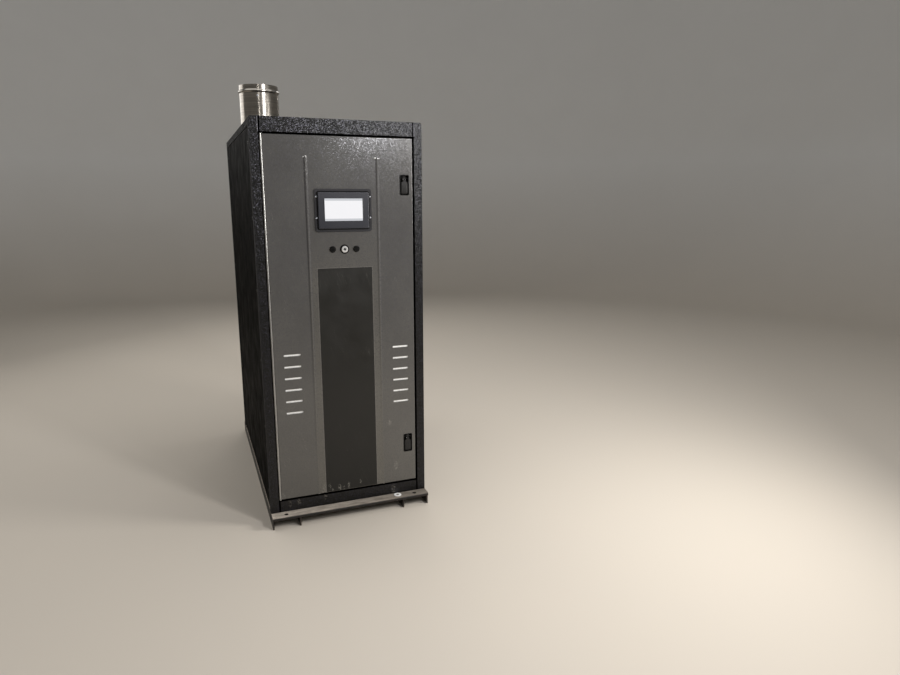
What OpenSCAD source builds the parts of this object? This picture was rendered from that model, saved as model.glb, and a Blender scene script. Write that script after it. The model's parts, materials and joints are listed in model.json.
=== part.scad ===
// Floor-standing cabinet boiler on channel feet, with a full-height front door
// on a continuous hinge, an operator panel, air slots and two paddle latches.
// Millimetres. X runs right along the front, Y towards the back and Z up.
// The origin is on the floor under the middle of the cabinet.

/* [Cabinet] */
// Width over the corner posts
cabinet_w = 700; // [680:5:760]
// Depth over the corner posts
cabinet_d = 1270; // [1250:10:1400]
// Height from the top of the base to the roof
cabinet_h = 1640; // [1600:10:1700]
// Thickness of the sheet steel
sheet_t = 2; // [1.5:0.1:2.5]
// Width of a corner post across the front
post_w = 38; // [34:1:44]
// Depth of a corner post
post_d = 42; // [40:1:50]
// Height of the band above the door
top_band_h = 60; // [50:1:80]
// Height of the band below the door
bottom_band_h = 52; // [40:1:70]
// Radius of the bend along the top side edges
roof_bend_r = 10; // [6:1:14]
// Height of the roof's turned-down side edges
roof_edge_h = 34; // [28:1:45]
// Depth of the folded edges of the side and rear panels
panel_fold = 20; // [14:1:24]
// How far the side and rear panels sit inside the posts
panel_inset = 3; // [1:0.5:5]

/* [Base] */
// Height of the base from the floor to the cabinet
base_h = 56; // [50:1:70]
// Width of a channel foot
foot_w = 120; // [100:5:140]
// Thickness of the base steel
base_t = 6; // [5:0.5:8]
// How far the base stands out in front of and behind the cabinet
base_out = 50; // [42:1:60]
// Run of a cross angle's flat flange from front to back
cross_run = 110; // [100:5:140]
// Height of a cross angle's lip
cross_lip_h = 14; // [13:1:32]
// Diameter of the anchor bolt holes
anchor_hole_d = 18; // [12:1:20]
// Distance of an anchor hole from the end of the base
anchor_inset = 22; // [18:1:26]

/* [Door] */
// Running gap between the door and the frame
door_gap = 5; // [4:0.5:7]
// Depth of the door's folded edges
door_fold = 25; // [22:1:28]
// Bend radius round the door's face
door_bend_r = 3; // [2.5:0.5:4]
// Width of the stop that the door closes against
stop_w = 18; // [14:1:24]
// Space between the door's folded edge and the stop
stop_space = 7; // [5:0.5:9]
// Shift of the door's features to the right of the door's middle
feature_shift = 5.2; // [-5:0.2:10]
// Distance of each pressed crease from the operator panel's rim
crease_gap = 29; // [24:1:36]
// Width of a crease at its top end
crease_w = 16; // [12:1:20]
// Height of a crease at its top end
crease_rise = 1.6; // [1:0.1:2]
// Distance from the door's top edge to the top end of the creases
crease_from_top = 82; // [50:1:120]
// Distance from the door's bottom edge to where the creases run out
crease_from_bottom = 147; // [100:1:350]

/* [Air slots] */
// Number of slots in a column
slot_count = 6; // [4:1:7]
// Length of a slot
slot_l = 70; // [56:1:78]
// Height of a slot
slot_h = 8; // [5:0.5:10]
// Pitch of the slots
slot_pitch = 50; // [40:1:52]
// Distance of the lowest slot from the door's bottom edge
slot_from_bottom = 384; // [340:1:420]
// Distance of the middle of a slot column from the door's side edge
slot_inset = 70.2; // [67:0.2:76]

/* [Door hinge] */
// Outer diameter of the hinge knuckles
knuckle_d = 8; // [7:0.5:9]
// Diameter of the hinge pin
hinge_pin_d = 4; // [3:0.5:4.5]
// Thickness of the hinge leaves
leaf_t = 1.5; // [1.2:0.1:1.8]
// Width of the hinge leaves behind the knuckles
leaf_w = 20; // [14:1:22]
// Number of knuckles, the frame's and the door's together
knuckle_count = 24; // [12:2:30]
// Radial clearance of a pin in its bore
pin_clearance = 0.05; // [0.03:0.01:0.1]

/* [Operator panel] */
// Width of the operator panel's outer rim
rim_w = 236; // [226:1:246]
// Height of the operator panel's outer rim
rim_h = 173; // [165:1:185]
// Width of the operator panel's bezel
bezel_w = 211; // [200:1:215]
// Height of the operator panel's bezel
bezel_h = 147; // [140:1:152]
// Width of the display
display_w = 157; // [150:1:165]
// Height of the display
display_h = 90; // [84:1:96]
// Distance from the door's top edge to the operator panel's middle
panel_from_top = 293; // [270:1:310]
// Height of the display's middle above the panel's middle
display_rise = 3; // [0:1:6]
// Distance of the row of switches below the operator panel's middle
switch_drop = 158; // [140:1:170]
// Pitch of the switches
switch_pitch = 50; // [44:1:60]
// Diameter of the holes for the switches
switch_hole_d = 22.5; // [20:0.5:24]

/* [Door stripe] */
// Width of the dark stripe sheet
stripe_w = 230; // [200:1:240]
// Distance of the stripe's top edge below the switches
stripe_drop = 78; // [50:1:120]

/* [Latches] */
// Width of a latch flange
latch_w = 40; // [38:1:44]
// Height of a latch flange
latch_h = 84; // [82:1:92]
// Distance of the latches from the door's free edge
latch_inset = 36; // [30:1:40]
// Distance from the door's top edge to the middle of the upper latch
upper_latch_from_top = 190; // [150:1:250]
// Distance from the door's bottom edge to the middle of the lower latch
lower_latch_from_bottom = 182; // [140:1:240]
// Diameter of a latch's pivot pin
latch_pin_d = 4; // [3:0.5:5]

/* [Flue] */
// Outer diameter of the flue
flue_d = 203; // [180:1:210]
// Wall of the flue
flue_t = 1.5; // [1:0.1:2.5]
// Distance of the flue from the left side
flue_from_left = 172; // [160:1:180]
// Distance of the flue from the back
flue_from_back = 150; // [145:1:170]
// Height of the flue's end above the roof
flue_rise = 276; // [120:1:350]
// Height of the collar round the flue
flue_collar_h = 30; // [15:1:50]

/* [Connections] */
// Outer diameter of the gas pipe
gas_pipe_d = 33.4; // [26.7:0.1:42.2]
// Distance of the gas pipe from the right side
gas_from_right = 131; // [120:1:150]
// Distance of the gas pipe from the back
gas_from_back = 215; // [190:1:240]
// Height of the gas pipe's end above the roof
gas_rise = 60; // [40:1:100]
// Outer diameter of the water pipes
water_pipe_d = 88.9; // [73:0.1:100]
// Outer diameter of a water flange
flange_d = 190.5; // [180:0.5:200]
// Thickness of a water flange
flange_t = 24; // [18:0.5:28]
// Bolt circle of a water flange
flange_pcd = 152.4; // [145:0.1:155]
// Diameter of a water flange's bolt holes
flange_hole_d = 19; // [16:0.5:20]
// Distance of the water flanges from the right side
water_from_right = 230; // [200:5:260]
// Distance of the supply flange below the roof
supply_from_roof = 566; // [540:1:600]
// Height of the return flange above the base
return_rise = 364; // [340:1:420]
// Outer diameter of the condensate drain
drain_d = 33.4; // [26.7:0.1:42.2]

/* [Inside] */
// Diameter of the insulated vessel
vessel_d = 540; // [480:5:560]
// Height of the vessel's stand above the base
vessel_rise = 254; // [240:1:280]
// Space between the vessel's straight jacket and the roof
burner_space = 506; // [490:1:540]
// Height of the vessel's domed top
vessel_dome_h = 70; // [50:5:80]
// Distance of the vessel forward of the cabinet's middle
vessel_forward = 20; // [0:1:30]
// Distance of the blower's axis above the burner plate
blower_rise = 185; // [175:1:200]
// Radius of the blower's scroll housing
blower_r = 105; // [95:1:110]
// Thickness of the blower's scroll housing
blower_t = 100; // [80:1:110]
// Distance of the blower forward of the vessel's axis
blower_forward = 120; // [115:1:130]
// Distance of the gas valve behind the vessel's axis
valve_back = 190; // [170:1:200]
// Distance of the electrical box behind the front corner post
box_back = 45; // [30:1:60]
// Height of the electrical box above the base
box_rise = 584; // [500:1:620]
// Height of the electrical box
box_h = 460; // [400:1:500]

/* [Hidden] */
$fn = 64;

half_w = cabinet_w / 2;
front_y = -cabinet_d / 2;
rear_y = cabinet_d / 2;
cabinet_z = base_h;
roof_z = base_h + cabinet_h;
cross_bend_r = 1.2 * base_t;
fit = 0.3;
through = 1;

// The opening in the front frame
opening_x0 = -half_w + post_w;
opening_x1 = half_w - post_w;
opening_z0 = cabinet_z + bottom_band_h;
opening_z1 = roof_z - top_band_h;
stop_y = front_y + door_fold + stop_space;

// The hinge stands in the gap on the door's left
hinge_x = opening_x0 + fit + knuckle_d / 2;
hinge_y = front_y + 1;
knuckle_gap = 0.6;
leaf_space = 0.4;

// The door's outline
door_x0 = hinge_x + knuckle_d / 2 + fit;
door_x1 = opening_x1 - door_gap;
door_z0 = opening_z0 + door_gap;
door_z1 = opening_z1 - door_gap;
door_w = door_x1 - door_x0;
door_h = door_z1 - door_z0;
door_back = front_y + sheet_t;

// The places of the door's features
feature_x = (door_x0 + door_x1) / 2 + feature_shift;
crease_x = rim_w / 2 + crease_gap;
crease_top_z = door_z1 - crease_from_top;
crease_end_z = door_z0 + crease_from_bottom;
slot_x = door_w / 2 - slot_inset;
slot_z = door_z0 + slot_from_bottom;
panel_z = door_z1 - panel_from_top;
switch_z = panel_z - switch_drop;
stripe_top_z = switch_z - stripe_drop;
upper_latch_z = door_z1 - upper_latch_from_top;
lower_latch_z = door_z0 + lower_latch_from_bottom;

// Panels between the posts
side_y0 = front_y + post_d;
side_y1 = rear_y - post_d;
side_top_z = roof_z - roof_edge_h;
side_outer_x = half_w - panel_inset;
side_inner_x = side_outer_x - sheet_t;

latch_x = door_x1 - latch_inset;
latch_pocket_depth = 15;
latch_wall = 2;
latch_flange_t = 1.5;
paddle_t = 4;
paddle_w = latch_w - 2 * latch_wall - 4;
paddle_neck_w = 13;
paddle_h = latch_h - 2 * latch_wall - 7;
paddle_head_r = 8.5;
paddle_body_h = 0.66 * paddle_h;
latch_pivot_y = front_y + 6;

rim_t = 4;
bezel_t = 7;
bezel_r = 6;
bezel_edge_r = 3;
rim_r = 12;
rim_opening_edge = 4;
panel_body_depth = 38;
display_recess = 1.2;

flue_x = -half_w + flue_from_left;
flue_y = rear_y - flue_from_back;
flue_top_z = roof_z + flue_rise;
pipe_hole_space = 6;
gas_x = half_w - gas_from_right;
gas_y = rear_y - gas_from_back;
conduit_from_gas = [-66, 75];
conduit_x = gas_x + conduit_from_gas[0];
conduit_y = gas_y + conduit_from_gas[1];
conduit_neck_r = 13;

vessel_y = -vessel_forward;
vessel_z = cabinet_z + vessel_rise;
vessel_top_z = roof_z - burner_space;
stand_w = 50;
stand_inset = 40;
stand_space = 15;
burner_z = vessel_top_z + vessel_dome_h;
burner_plate_t = 20;
blower_x = 20;
blower_y = vessel_y - blower_forward;
blower_z = burner_z + burner_plate_t + blower_rise;
gas_run_z = blower_z;
gas_elbow_d = gas_pipe_d + 8;
gas_elbow_h = 32;

water_x = half_w - water_from_right;
supply_z = roof_z - supply_from_roof;
return_z = cabinet_z + return_rise;
flange_face_y = rear_y + base_out;
drain_x = 20;
drain_z = cabinet_z + 80;
coupling_h = 16;
coupling_out = 6;
flue_box_r = vessel_d / 2 - stand_w - stand_inset - stand_space;
flue_box_z = cabinet_z + 54;
riser_z = vessel_z - 10;

// A rectangle with round corners, about its middle
module round_rect(w, h, r) {
    square([w - 2 * r, h], center = true);
    square([w, h - 2 * r], center = true);
    for (sx = [-1, 1], sy = [-1, 1])
        translate([sx * (w / 2 - r), sy * (h / 2 - r)])
            circle(r);
}

// Carries an outline drawn in X and Z along Y
module along_y(y0, y1) {
    translate([0, y1, 0])
        rotate([90, 0, 0])
            linear_extrude(y1 - y0)
                children();
}

// Carries an outline drawn in Y and Z along X
module along_x(x0, x1) {
    translate([x0, 0, 0])
        rotate([90, 0, 90])
            linear_extrude(x1 - x0)
                children();
}

// Carries an outline drawn in X and Y along Z
module along_z(z0, z1) {
    translate([0, 0, z0])
        linear_extrude(z1 - z0)
            children();
}

// A block between two corners
module block(low, high) {
    translate(low)
        cube([high[0] - low[0], high[1] - low[1], high[2] - low[2]]);
}

// A rod along Y
module rod_y(x, z, d, y0, y1) {
    translate([x, y0, z])
        rotate([-90, 0, 0])
            cylinder(d = d, h = y1 - y0);
}

// A rod along X
module rod_x(y, z, d, x0, x1) {
    translate([x0, y, z])
        rotate([0, 90, 0])
            cylinder(d = d, h = x1 - x0);
}

// A rod along Z
module rod_z(x, y, d, z0, z1) {
    translate([x, y, z0])
        cylinder(d = d, h = z1 - z0);
}

// A quarter bend of round section, from straight up at the origin to along +X
module quarter_bend(d, r) {
    translate([r, 0, 0])
        rotate([90, 0, 0])
            rotate([0, 0, 90])
                rotate_extrude(angle = 90)
                    translate([r, 0])
                        circle(d = d);
}

// The anchor holes at the four corners of the base
module anchor_holes() {
    hole_x = half_w - foot_w / 2;
    hole_y = cabinet_d / 2 + base_out - anchor_inset;
    for (sx = [-1, 1], sy = [-1, 1])
        rod_z(sx * hole_x, sy * hole_y, anchor_hole_d, -through, base_h + through);
}

// A channel foot, open side down, with round bends along its top
module base_foot(side) {
    foot_h = base_h - base_t;
    mid_x = side * (half_w - foot_w / 2);
    bend_r = 1.5 * base_t;
    foot_y1 = rear_y + base_out - cross_bend_r;
    color([0.2, 0.2, 0.21])
        difference() {
            along_y(-foot_y1, foot_y1)
                translate([mid_x, 0])
                    difference() {
                        union() {
                            translate([-foot_w / 2, 0])
                                square([foot_w, foot_h - bend_r]);
                            translate([-foot_w / 2 + bend_r, 0])
                                square([foot_w - 2 * bend_r, foot_h]);
                            for (s = [-1, 1])
                                translate([s * (foot_w / 2 - bend_r), foot_h - bend_r])
                                    circle(bend_r);
                        }
                        translate([-foot_w / 2 + base_t, -through])
                            square([foot_w - 2 * base_t, foot_h - base_t + through]);
                    }
            anchor_holes();
        }
}

module base_foot_left() { base_foot(-1); }
module base_foot_right() { base_foot(1); }

// A cross angle: a flange on top of both feet, and a lip down over their ends
module base_cross() {
    end_y = front_y - base_out;
    bend_r = cross_bend_r;
    color([0.24, 0.24, 0.25])
        difference() {
            along_x(-half_w, half_w) {
                translate([end_y + bend_r, base_h - base_t])
                    square([cross_run - bend_r, base_t]);
                translate([end_y, base_h - cross_lip_h])
                    square([base_t, cross_lip_h - bend_r]);
                intersection() {
                    translate([end_y, base_h - bend_r])
                        square(bend_r);
                    difference() {
                        translate([end_y + bend_r, base_h - bend_r])
                            circle(bend_r);
                        translate([end_y + bend_r, base_h - bend_r])
                            circle(bend_r - base_t);
                    }
                }
            }
            anchor_holes();
        }
}

module base_cross_front() { base_cross(); }
module base_cross_rear() { rotate([0, 0, 180]) base_cross(); }

// The floor of the cabinet, a tray between the side panels
module floor_pan() {
    pan_x = side_outer_x - panel_fold - fit;
    pan_edge_h = 20;
    color([0.55, 0.56, 0.57])
        difference() {
            block([-pan_x, side_y0, cabinet_z], [pan_x, side_y1, cabinet_z + pan_edge_h]);
            block([-pan_x + sheet_t, side_y0 + sheet_t, cabinet_z + sheet_t],
                  [pan_x - sheet_t, side_y1 - sheet_t, cabinet_z + pan_edge_h + through]);
        }
}

// Rounds the outer top corner of whatever runs along Y
module under_roof_bend() {
    intersection() {
        children();
        along_y(-cabinet_d, cabinet_d)
            translate([0, roof_z / 2])
                round_rect(cabinet_w, roof_z, roof_bend_r);
    }
}

// A corner post, a closed box section with a cap
module corner_post(side, y0) {
    x0 = side < 0 ? -half_w : half_w - post_w;
    under_roof_bend()
        difference() {
            block([x0, y0, cabinet_z], [x0 + post_w, y0 + post_d, roof_z]);
            block([x0 + sheet_t, y0 + sheet_t, cabinet_z - through],
                  [x0 + post_w - sheet_t, y0 + post_d - sheet_t, roof_z - roof_bend_r]);
        }
}

// The door stop on a front post
module post_stop(side) {
    x0 = side < 0 ? opening_x0 - sheet_t : opening_x1 - stop_w;
    block([x0, stop_y, opening_z0 + stop_w],
          [x0 + stop_w + sheet_t, stop_y + sheet_t, opening_z1 - stop_w]);
}

module front_post(side) {
    color([0.13, 0.135, 0.15]) {
        corner_post(side, front_y);
        post_stop(side);
    }
}

module front_post_left() { front_post(-1); }
module front_post_right() { front_post(1); }

module rear_post(side) {
    color([0.13, 0.135, 0.15])
        corner_post(side, rear_y - post_d);
}

module rear_post_left() { rear_post(-1); }
module rear_post_right() { rear_post(1); }

// The band above the door: face, top flange, head and stop in one folded sheet
module top_band() {
    color([0.13, 0.135, 0.15])
        along_x(opening_x0, opening_x1) {
            translate([front_y, opening_z1])
                square([sheet_t, top_band_h]);
            translate([front_y, roof_z - sheet_t])
                square([post_d, sheet_t]);
            translate([front_y, opening_z1])
                square([stop_y + sheet_t - front_y, sheet_t]);
            translate([stop_y, opening_z1 - stop_w])
                square([sheet_t, stop_w + sheet_t]);
        }
}

// The band below the door: face, sill, stop and foot flange in one folded sheet
module bottom_band() {
    color([0.13, 0.135, 0.15])
        along_x(opening_x0, opening_x1) {
            translate([front_y, cabinet_z])
                square([sheet_t, bottom_band_h]);
            translate([front_y, cabinet_z])
                square([post_d, sheet_t]);
            translate([front_y, opening_z0 - sheet_t])
                square([stop_y + sheet_t - front_y, sheet_t]);
            translate([stop_y, opening_z0 - sheet_t])
                square([sheet_t, stop_w + sheet_t]);
        }
}

// A side panel with folded edges, standing on the base between two posts
module side_panel(side) {
    color([0.12, 0.12, 0.13])
        mirror([side < 0 ? 0 : 1, 0, 0])
            difference() {
                block([-side_outer_x, side_y0, cabinet_z],
                      [-side_outer_x + panel_fold, side_y1, side_top_z]);
                block([-side_inner_x, side_y0 + sheet_t, cabinet_z - through],
                      [-side_outer_x + panel_fold + through, side_y1 - sheet_t,
                       side_top_z - sheet_t]);
            }
}

module side_panel_left() { side_panel(-1); }
module side_panel_right() { side_panel(1); }

// The holes that the pipes pass through in the rear panel
module rear_openings() {
    for (z = [supply_z, return_z])
        rod_y(water_x, z, water_pipe_d + 3 * pipe_hole_space, side_y1, rear_y + through);
    rod_y(drain_x, drain_z, drain_d + pipe_hole_space, side_y1, rear_y + through);
}

// The rear panel with folded edges, between the rear posts
module rear_panel() {
    color([0.12, 0.12, 0.13])
        difference() {
            block([opening_x0, rear_y - panel_inset - panel_fold, cabinet_z],
                  [opening_x1, rear_y - panel_inset, side_top_z]);
            block([opening_x0 + sheet_t, rear_y - panel_inset - panel_fold - through,
                   cabinet_z + sheet_t],
                  [opening_x1 - sheet_t, rear_y - panel_inset - sheet_t, side_top_z - sheet_t]);
            rear_openings();
        }
}

// The holes in the roof for the flue, the gas pipe and the conduit hub
module roof_holes() {
    rod_z(flue_x, flue_y, flue_d + 2 * pipe_hole_space, side_top_z, roof_z + through);
    rod_z(gas_x, gas_y, gas_pipe_d + pipe_hole_space, side_top_z, roof_z + through);
    rod_z(conduit_x, conduit_y, 2 * (conduit_neck_r + fit), side_top_z, roof_z + through);
}

// The roof, a lid with turned-down edges at its sides and back
module roof_panel() {
    color([0.13, 0.135, 0.15])
        difference() {
            under_roof_bend()
                block([-half_w, side_y0, side_top_z], [half_w, side_y1, roof_z]);
            along_y(side_y0 - through, side_y1 + through)
                translate([0, roof_z / 2 - sheet_t])
                    round_rect(cabinet_w - 2 * sheet_t, roof_z, roof_bend_r - sheet_t);
            roof_holes();
        }
    color([0.13, 0.135, 0.15])
        difference() {
            block([opening_x0, side_y1, side_top_z], [opening_x1, rear_y, roof_z]);
            block([opening_x0 - through, side_y1 - through, side_top_z - through],
                  [opening_x1 + through, rear_y - sheet_t, roof_z - sheet_t]);
            roof_holes();
        }
}

// One leaf of the continuous hinge with its share of the knuckles
module hinge_leaf(first, x0) {
    pitch = door_h / knuckle_count;
    bore_d = hinge_pin_d + 2 * pin_clearance;
    color([0.75, 0.76, 0.77])
        difference() {
            union() {
                block([x0, hinge_y + knuckle_d / 2 + leaf_space, door_z0],
                      [x0 + leaf_t, hinge_y + knuckle_d / 2 + leaf_w, door_z1]);
                for (i = [first : 2 : knuckle_count - 1]) {
                    z0 = door_z0 + i * pitch + knuckle_gap / 2;
                    z1 = door_z0 + (i + 1) * pitch - knuckle_gap / 2;
                    rod_z(hinge_x, hinge_y, knuckle_d, z0, z1);
                    block([x0, hinge_y, z0],
                          [x0 + leaf_t, hinge_y + knuckle_d / 2 + leaf_space + 1, z1]);
                }
            }
            rod_z(hinge_x, hinge_y, bore_d, door_z0 - through, door_z1 + through);
        }
}

module hinge_frame_leaf() { hinge_leaf(0, opening_x0); }
module hinge_door_leaf() { hinge_leaf(1, door_x0 - leaf_t); }

module hinge_pin() {
    color([0.7, 0.71, 0.72])
        rod_z(hinge_x, hinge_y, hinge_pin_d, door_z0, door_z1);
}

// The door's blank: a box whose front edges are bent to a radius
module door_blank(grow) {
    r = door_bend_r - grow;
    x_mid = (door_x0 + door_x1) / 2;
    z_mid = (door_z0 + door_z1) / 2;
    w = door_w - 2 * grow;
    h = door_h - 2 * grow;
    y0 = front_y + grow;
    y1 = front_y + door_fold;
    intersection() {
        along_y(y0, y1 + grow)
            translate([x_mid, z_mid])
                round_rect(w, h, r);
        along_z(door_z0, door_z1)
            translate([x_mid, y0 + door_fold])
                round_rect(w, 2 * door_fold, r);
        along_x(door_x0, door_x1)
            translate([y0 + door_fold, z_mid])
                round_rect(2 * door_fold, h, r);
    }
}

// A pressed crease: a shallow ridge on the face at y, whose line sinks to the face
// at crease_end_z, so that the ridge grows narrower and runs out
module crease(side, y) {
    run = crease_top_z - crease_end_z;
    past_end = 1.2;
    half = crease_w / 2;
    translate([feature_x + side * crease_x, y, crease_top_z])
        rotate([180 + atan(crease_rise / run), 0, 0])
            linear_extrude(run * past_end)
                polygon([[-2 * half, -crease_rise], [0, crease_rise], [2 * half, -crease_rise]]);
}

// A slot with round ends, through the door's face
module air_slot(x, z) {
    end_x = (slot_l - slot_h) / 2;
    along_y(front_y - through, door_back + through)
        translate([x, z]) {
            square([2 * end_x, slot_h], center = true);
            for (s = [-1, 1])
                translate([s * end_x, 0])
                    circle(d = slot_h);
        }
}

module air_slots() {
    for (side = [-1, 1], i = [0 : slot_count - 1])
        air_slot(feature_x + side * slot_x, slot_z + i * slot_pitch);
}

// The holes that the panel, switches and latches pass through
module door_cutouts() {
    along_y(front_y - through, door_back + through) {
        translate([feature_x, panel_z])
            square([bezel_w - 8, bezel_h - 8], center = true);
        for (z = [upper_latch_z, lower_latch_z])
            translate([latch_x, z])
                square([latch_w - 2, latch_h - 2], center = true);
    }
    for (i = [-1, 0, 1])
        rod_y(feature_x + i * switch_pitch, switch_z, switch_hole_d,
              front_y - through, door_back + through);
}

// The door: a tray folded from one sheet, with two pressed creases
module front_door() {
    color([0.3, 0.29, 0.29])
        difference() {
            union() {
                difference() {
                    door_blank(0);
                    block([door_x0 + sheet_t, door_back, door_z0 + sheet_t],
                          [door_x1 - sheet_t, front_y + door_fold + through, door_z1 - sheet_t]);
                }
                intersection() {
                    for (side = [-1, 1])
                        crease(side, front_y);
                    block([door_x0, front_y - door_fold, door_z0],
                          [door_x1, door_back - sheet_t / 2, door_z1]);
                }
            }
            for (side = [-1, 1])
                crease(side, door_back);
            air_slots();
            door_cutouts();
        }
}

// Hat-section liners behind the slots, open at top and bottom for the air
module slot_baffles() {
    liner_gap = 9;
    liner_t = 1.5;
    liner_w = slot_l + 16;
    liner_z0 = slot_z - 30;
    liner_z1 = slot_z + (slot_count - 1) * slot_pitch + 30;
    color([0.72, 0.73, 0.72])
        for (side = [-1, 1])
            translate([feature_x + side * slot_x, 0, 0])
                along_z(liner_z0, liner_z1) {
                    translate([-liner_w / 2, door_back + liner_gap])
                        square([liner_w, liner_t]);
                    for (s = [-1, 1])
                        translate([s > 0 ? liner_w / 2 - liner_t : -liner_w / 2, door_back])
                            square([liner_t, liner_gap + liner_t]);
                }
}

// The operator panel's rim, a plate with round corners screwed to the door
module operator_rim() {
    color([0.07, 0.07, 0.08])
        along_y(front_y - rim_t, front_y)
            translate([feature_x, panel_z])
                difference() {
                    round_rect(rim_w, rim_h, rim_r);
                    square([bezel_w - 2 * rim_opening_edge, bezel_h - 2 * rim_opening_edge],
                           center = true);
                }
}

// The bezel's plate, with its front edges rounded
module bezel_plate(y0, y1) {
    intersection() {
        along_y(y0, y1)
            translate([feature_x, panel_z])
                round_rect(bezel_w, bezel_h, bezel_r);
        along_z(panel_z - bezel_h / 2, panel_z + bezel_h / 2)
            translate([feature_x, y1])
                round_rect(bezel_w, 2 * bezel_t, bezel_edge_r);
        along_x(feature_x - bezel_w / 2, feature_x + bezel_w / 2)
            translate([y1, panel_z])
                round_rect(2 * bezel_t, bezel_h, bezel_edge_r);
    }
}

// The operator panel: a bezel over the rim and a housing behind the door
module operator_panel() {
    bezel_y0 = front_y - rim_t - bezel_t;
    body_w = bezel_w - 2 * rim_opening_edge - 1;
    body_h = bezel_h - 2 * rim_opening_edge - 1;
    color([0.1, 0.1, 0.11])
        difference() {
            union() {
                bezel_plate(bezel_y0, front_y - rim_t);
                along_y(front_y - rim_t, front_y + panel_body_depth)
                    translate([feature_x, panel_z])
                        square([body_w, body_h], center = true);
            }
            along_y(bezel_y0 - through, bezel_y0 + display_recess + 1)
                translate([feature_x, panel_z + display_rise])
                    square([display_w, display_h], center = true);
        }
}

// The display's glass, set a little below the bezel
module display_screen() {
    glass_y0 = front_y - rim_t - bezel_t + display_recess;
    color([0.95, 0.97, 0.98])
        along_y(glass_y0, glass_y0 + 1)
            translate([feature_x, panel_z + display_rise])
                square([display_w, display_h], center = true);
}

// A round control, turned about its axis: each point is radius, then depth
module turned(x, z, points) {
    translate([x, front_y, z])
        rotate([-90, 0, 0])
            rotate_extrude()
                polygon(points);
}

// The two plain buttons beside the key switch
module blank_buttons() {
    head_r = 13.5;
    shank_r = switch_hole_d / 2 - fit;
    color([0.06, 0.06, 0.06])
        for (side = [-1, 1])
            turned(feature_x + side * switch_pitch, switch_z,
                   [[0, -5], [head_r - 4, -5], [head_r, -2], [head_r, 0],
                    [shank_r, 0], [shank_r, 20], [0, 20]]);
}

// The dark collar that holds the key switch
module switch_collar() {
    collar_r = 17;
    shank_r = switch_hole_d / 2 - fit;
    barrel_r = 8.2;
    color([0.07, 0.07, 0.07])
        turned(feature_x, switch_z,
               [[barrel_r, -2], [collar_r - 2, -4], [collar_r, -2], [collar_r, 0],
                [shank_r, 0], [shank_r, 22], [barrel_r, 22]]);
}

// The bright barrel of the key switch with its keyway
module key_switch() {
    ring_r = 13;
    barrel_r = 8;
    key_r = 5;
    color([0.8, 0.81, 0.82])
        difference() {
            turned(feature_x, switch_z,
                   [[0, -5], [key_r, -5], [key_r + 1, -7], [ring_r - 2, -7], [ring_r, -5.5],
                    [ring_r, -4.2], [barrel_r, -4.2], [barrel_r, 30], [0, 30]]);
            translate([feature_x, 0, switch_z])
                block([-0.8, front_y - 8, -3.5], [0.8, front_y - 2, 3.5]);
        }
}

// The dark stripe, a thin sheet on the lower half of the door
module door_stripe() {
    stripe_t = 0.6;
    stripe_z0 = door_z0 + door_bend_r;
    color([0.16, 0.155, 0.15])
        block([feature_x - stripe_w / 2, front_y - stripe_t, stripe_z0],
              [feature_x + stripe_w / 2, front_y, stripe_top_z]);
}

// A latch cup: a flange on the door's face and a pocket behind it
module latch_cup(z) {
    pocket_w = latch_w - 2 * latch_wall;
    pocket_h = latch_h - 2 * latch_wall;
    pivot_z = paddle_pivot_z(z);
    difference() {
        union() {
            along_y(front_y - latch_flange_t, front_y)
                translate([latch_x, z])
                    round_rect(latch_w, latch_h, 5);
            along_y(front_y, front_y + latch_pocket_depth + latch_wall)
                translate([latch_x, z])
                    square([latch_w - 2.6, latch_h - 2.6], center = true);
        }
        along_y(front_y - latch_flange_t - through, front_y + latch_pocket_depth)
            translate([latch_x, z])
                round_rect(pocket_w, pocket_h, 3);
    }
    rod_x(latch_pivot_y, pivot_z, latch_pin_d,
          latch_x - pocket_w / 2 - 0.5, latch_x + pocket_w / 2 + 0.5);
}

module latch_cups() {
    color([0.05, 0.05, 0.055])
        for (z = [upper_latch_z, lower_latch_z])
            latch_cup(z);
}

// The pivot lies in the middle of a paddle's round head
function paddle_pivot_z(z) = z + paddle_h / 2 - paddle_head_r;

// A latch paddle: a narrow neck on the pivot and a broad finger plate below it
module latch_paddle(z) {
    bottom_z = z - paddle_h / 2;
    corner_r = 5;
    shoulder = (paddle_w - paddle_neck_w) / 2;
    body_top_z = bottom_z + paddle_body_h;
    boss_r = latch_pin_d / 2 + 2.5;
    face_y = front_y - latch_flange_t + 0.5;
    color([0.07, 0.07, 0.075])
        difference() {
            union() {
                along_y(face_y, face_y + paddle_t) {
                    translate([latch_x, bottom_z + paddle_body_h / 2])
                        round_rect(paddle_w, paddle_body_h, corner_r);
                    translate([latch_x, body_top_z - corner_r])
                        polygon([[-paddle_w / 2, 0], [paddle_w / 2, 0],
                                 [paddle_neck_w / 2, shoulder], [-paddle_neck_w / 2, shoulder]]);
                    translate([latch_x - paddle_neck_w / 2, body_top_z - corner_r])
                        square([paddle_neck_w, paddle_pivot_z(z) - body_top_z + corner_r]);
                    translate([latch_x, paddle_pivot_z(z)])
                        circle(paddle_head_r);
                }
                rod_x(latch_pivot_y, paddle_pivot_z(z), 2 * boss_r,
                      latch_x - paddle_neck_w / 2, latch_x + paddle_neck_w / 2);
            }
            rod_x(latch_pivot_y, paddle_pivot_z(z), latch_pin_d + 2 * pin_clearance,
                  latch_x - paddle_w, latch_x + paddle_w);
        }
}

module upper_latch_paddle() { latch_paddle(upper_latch_z); }
module lower_latch_paddle() { latch_paddle(lower_latch_z); }

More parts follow.
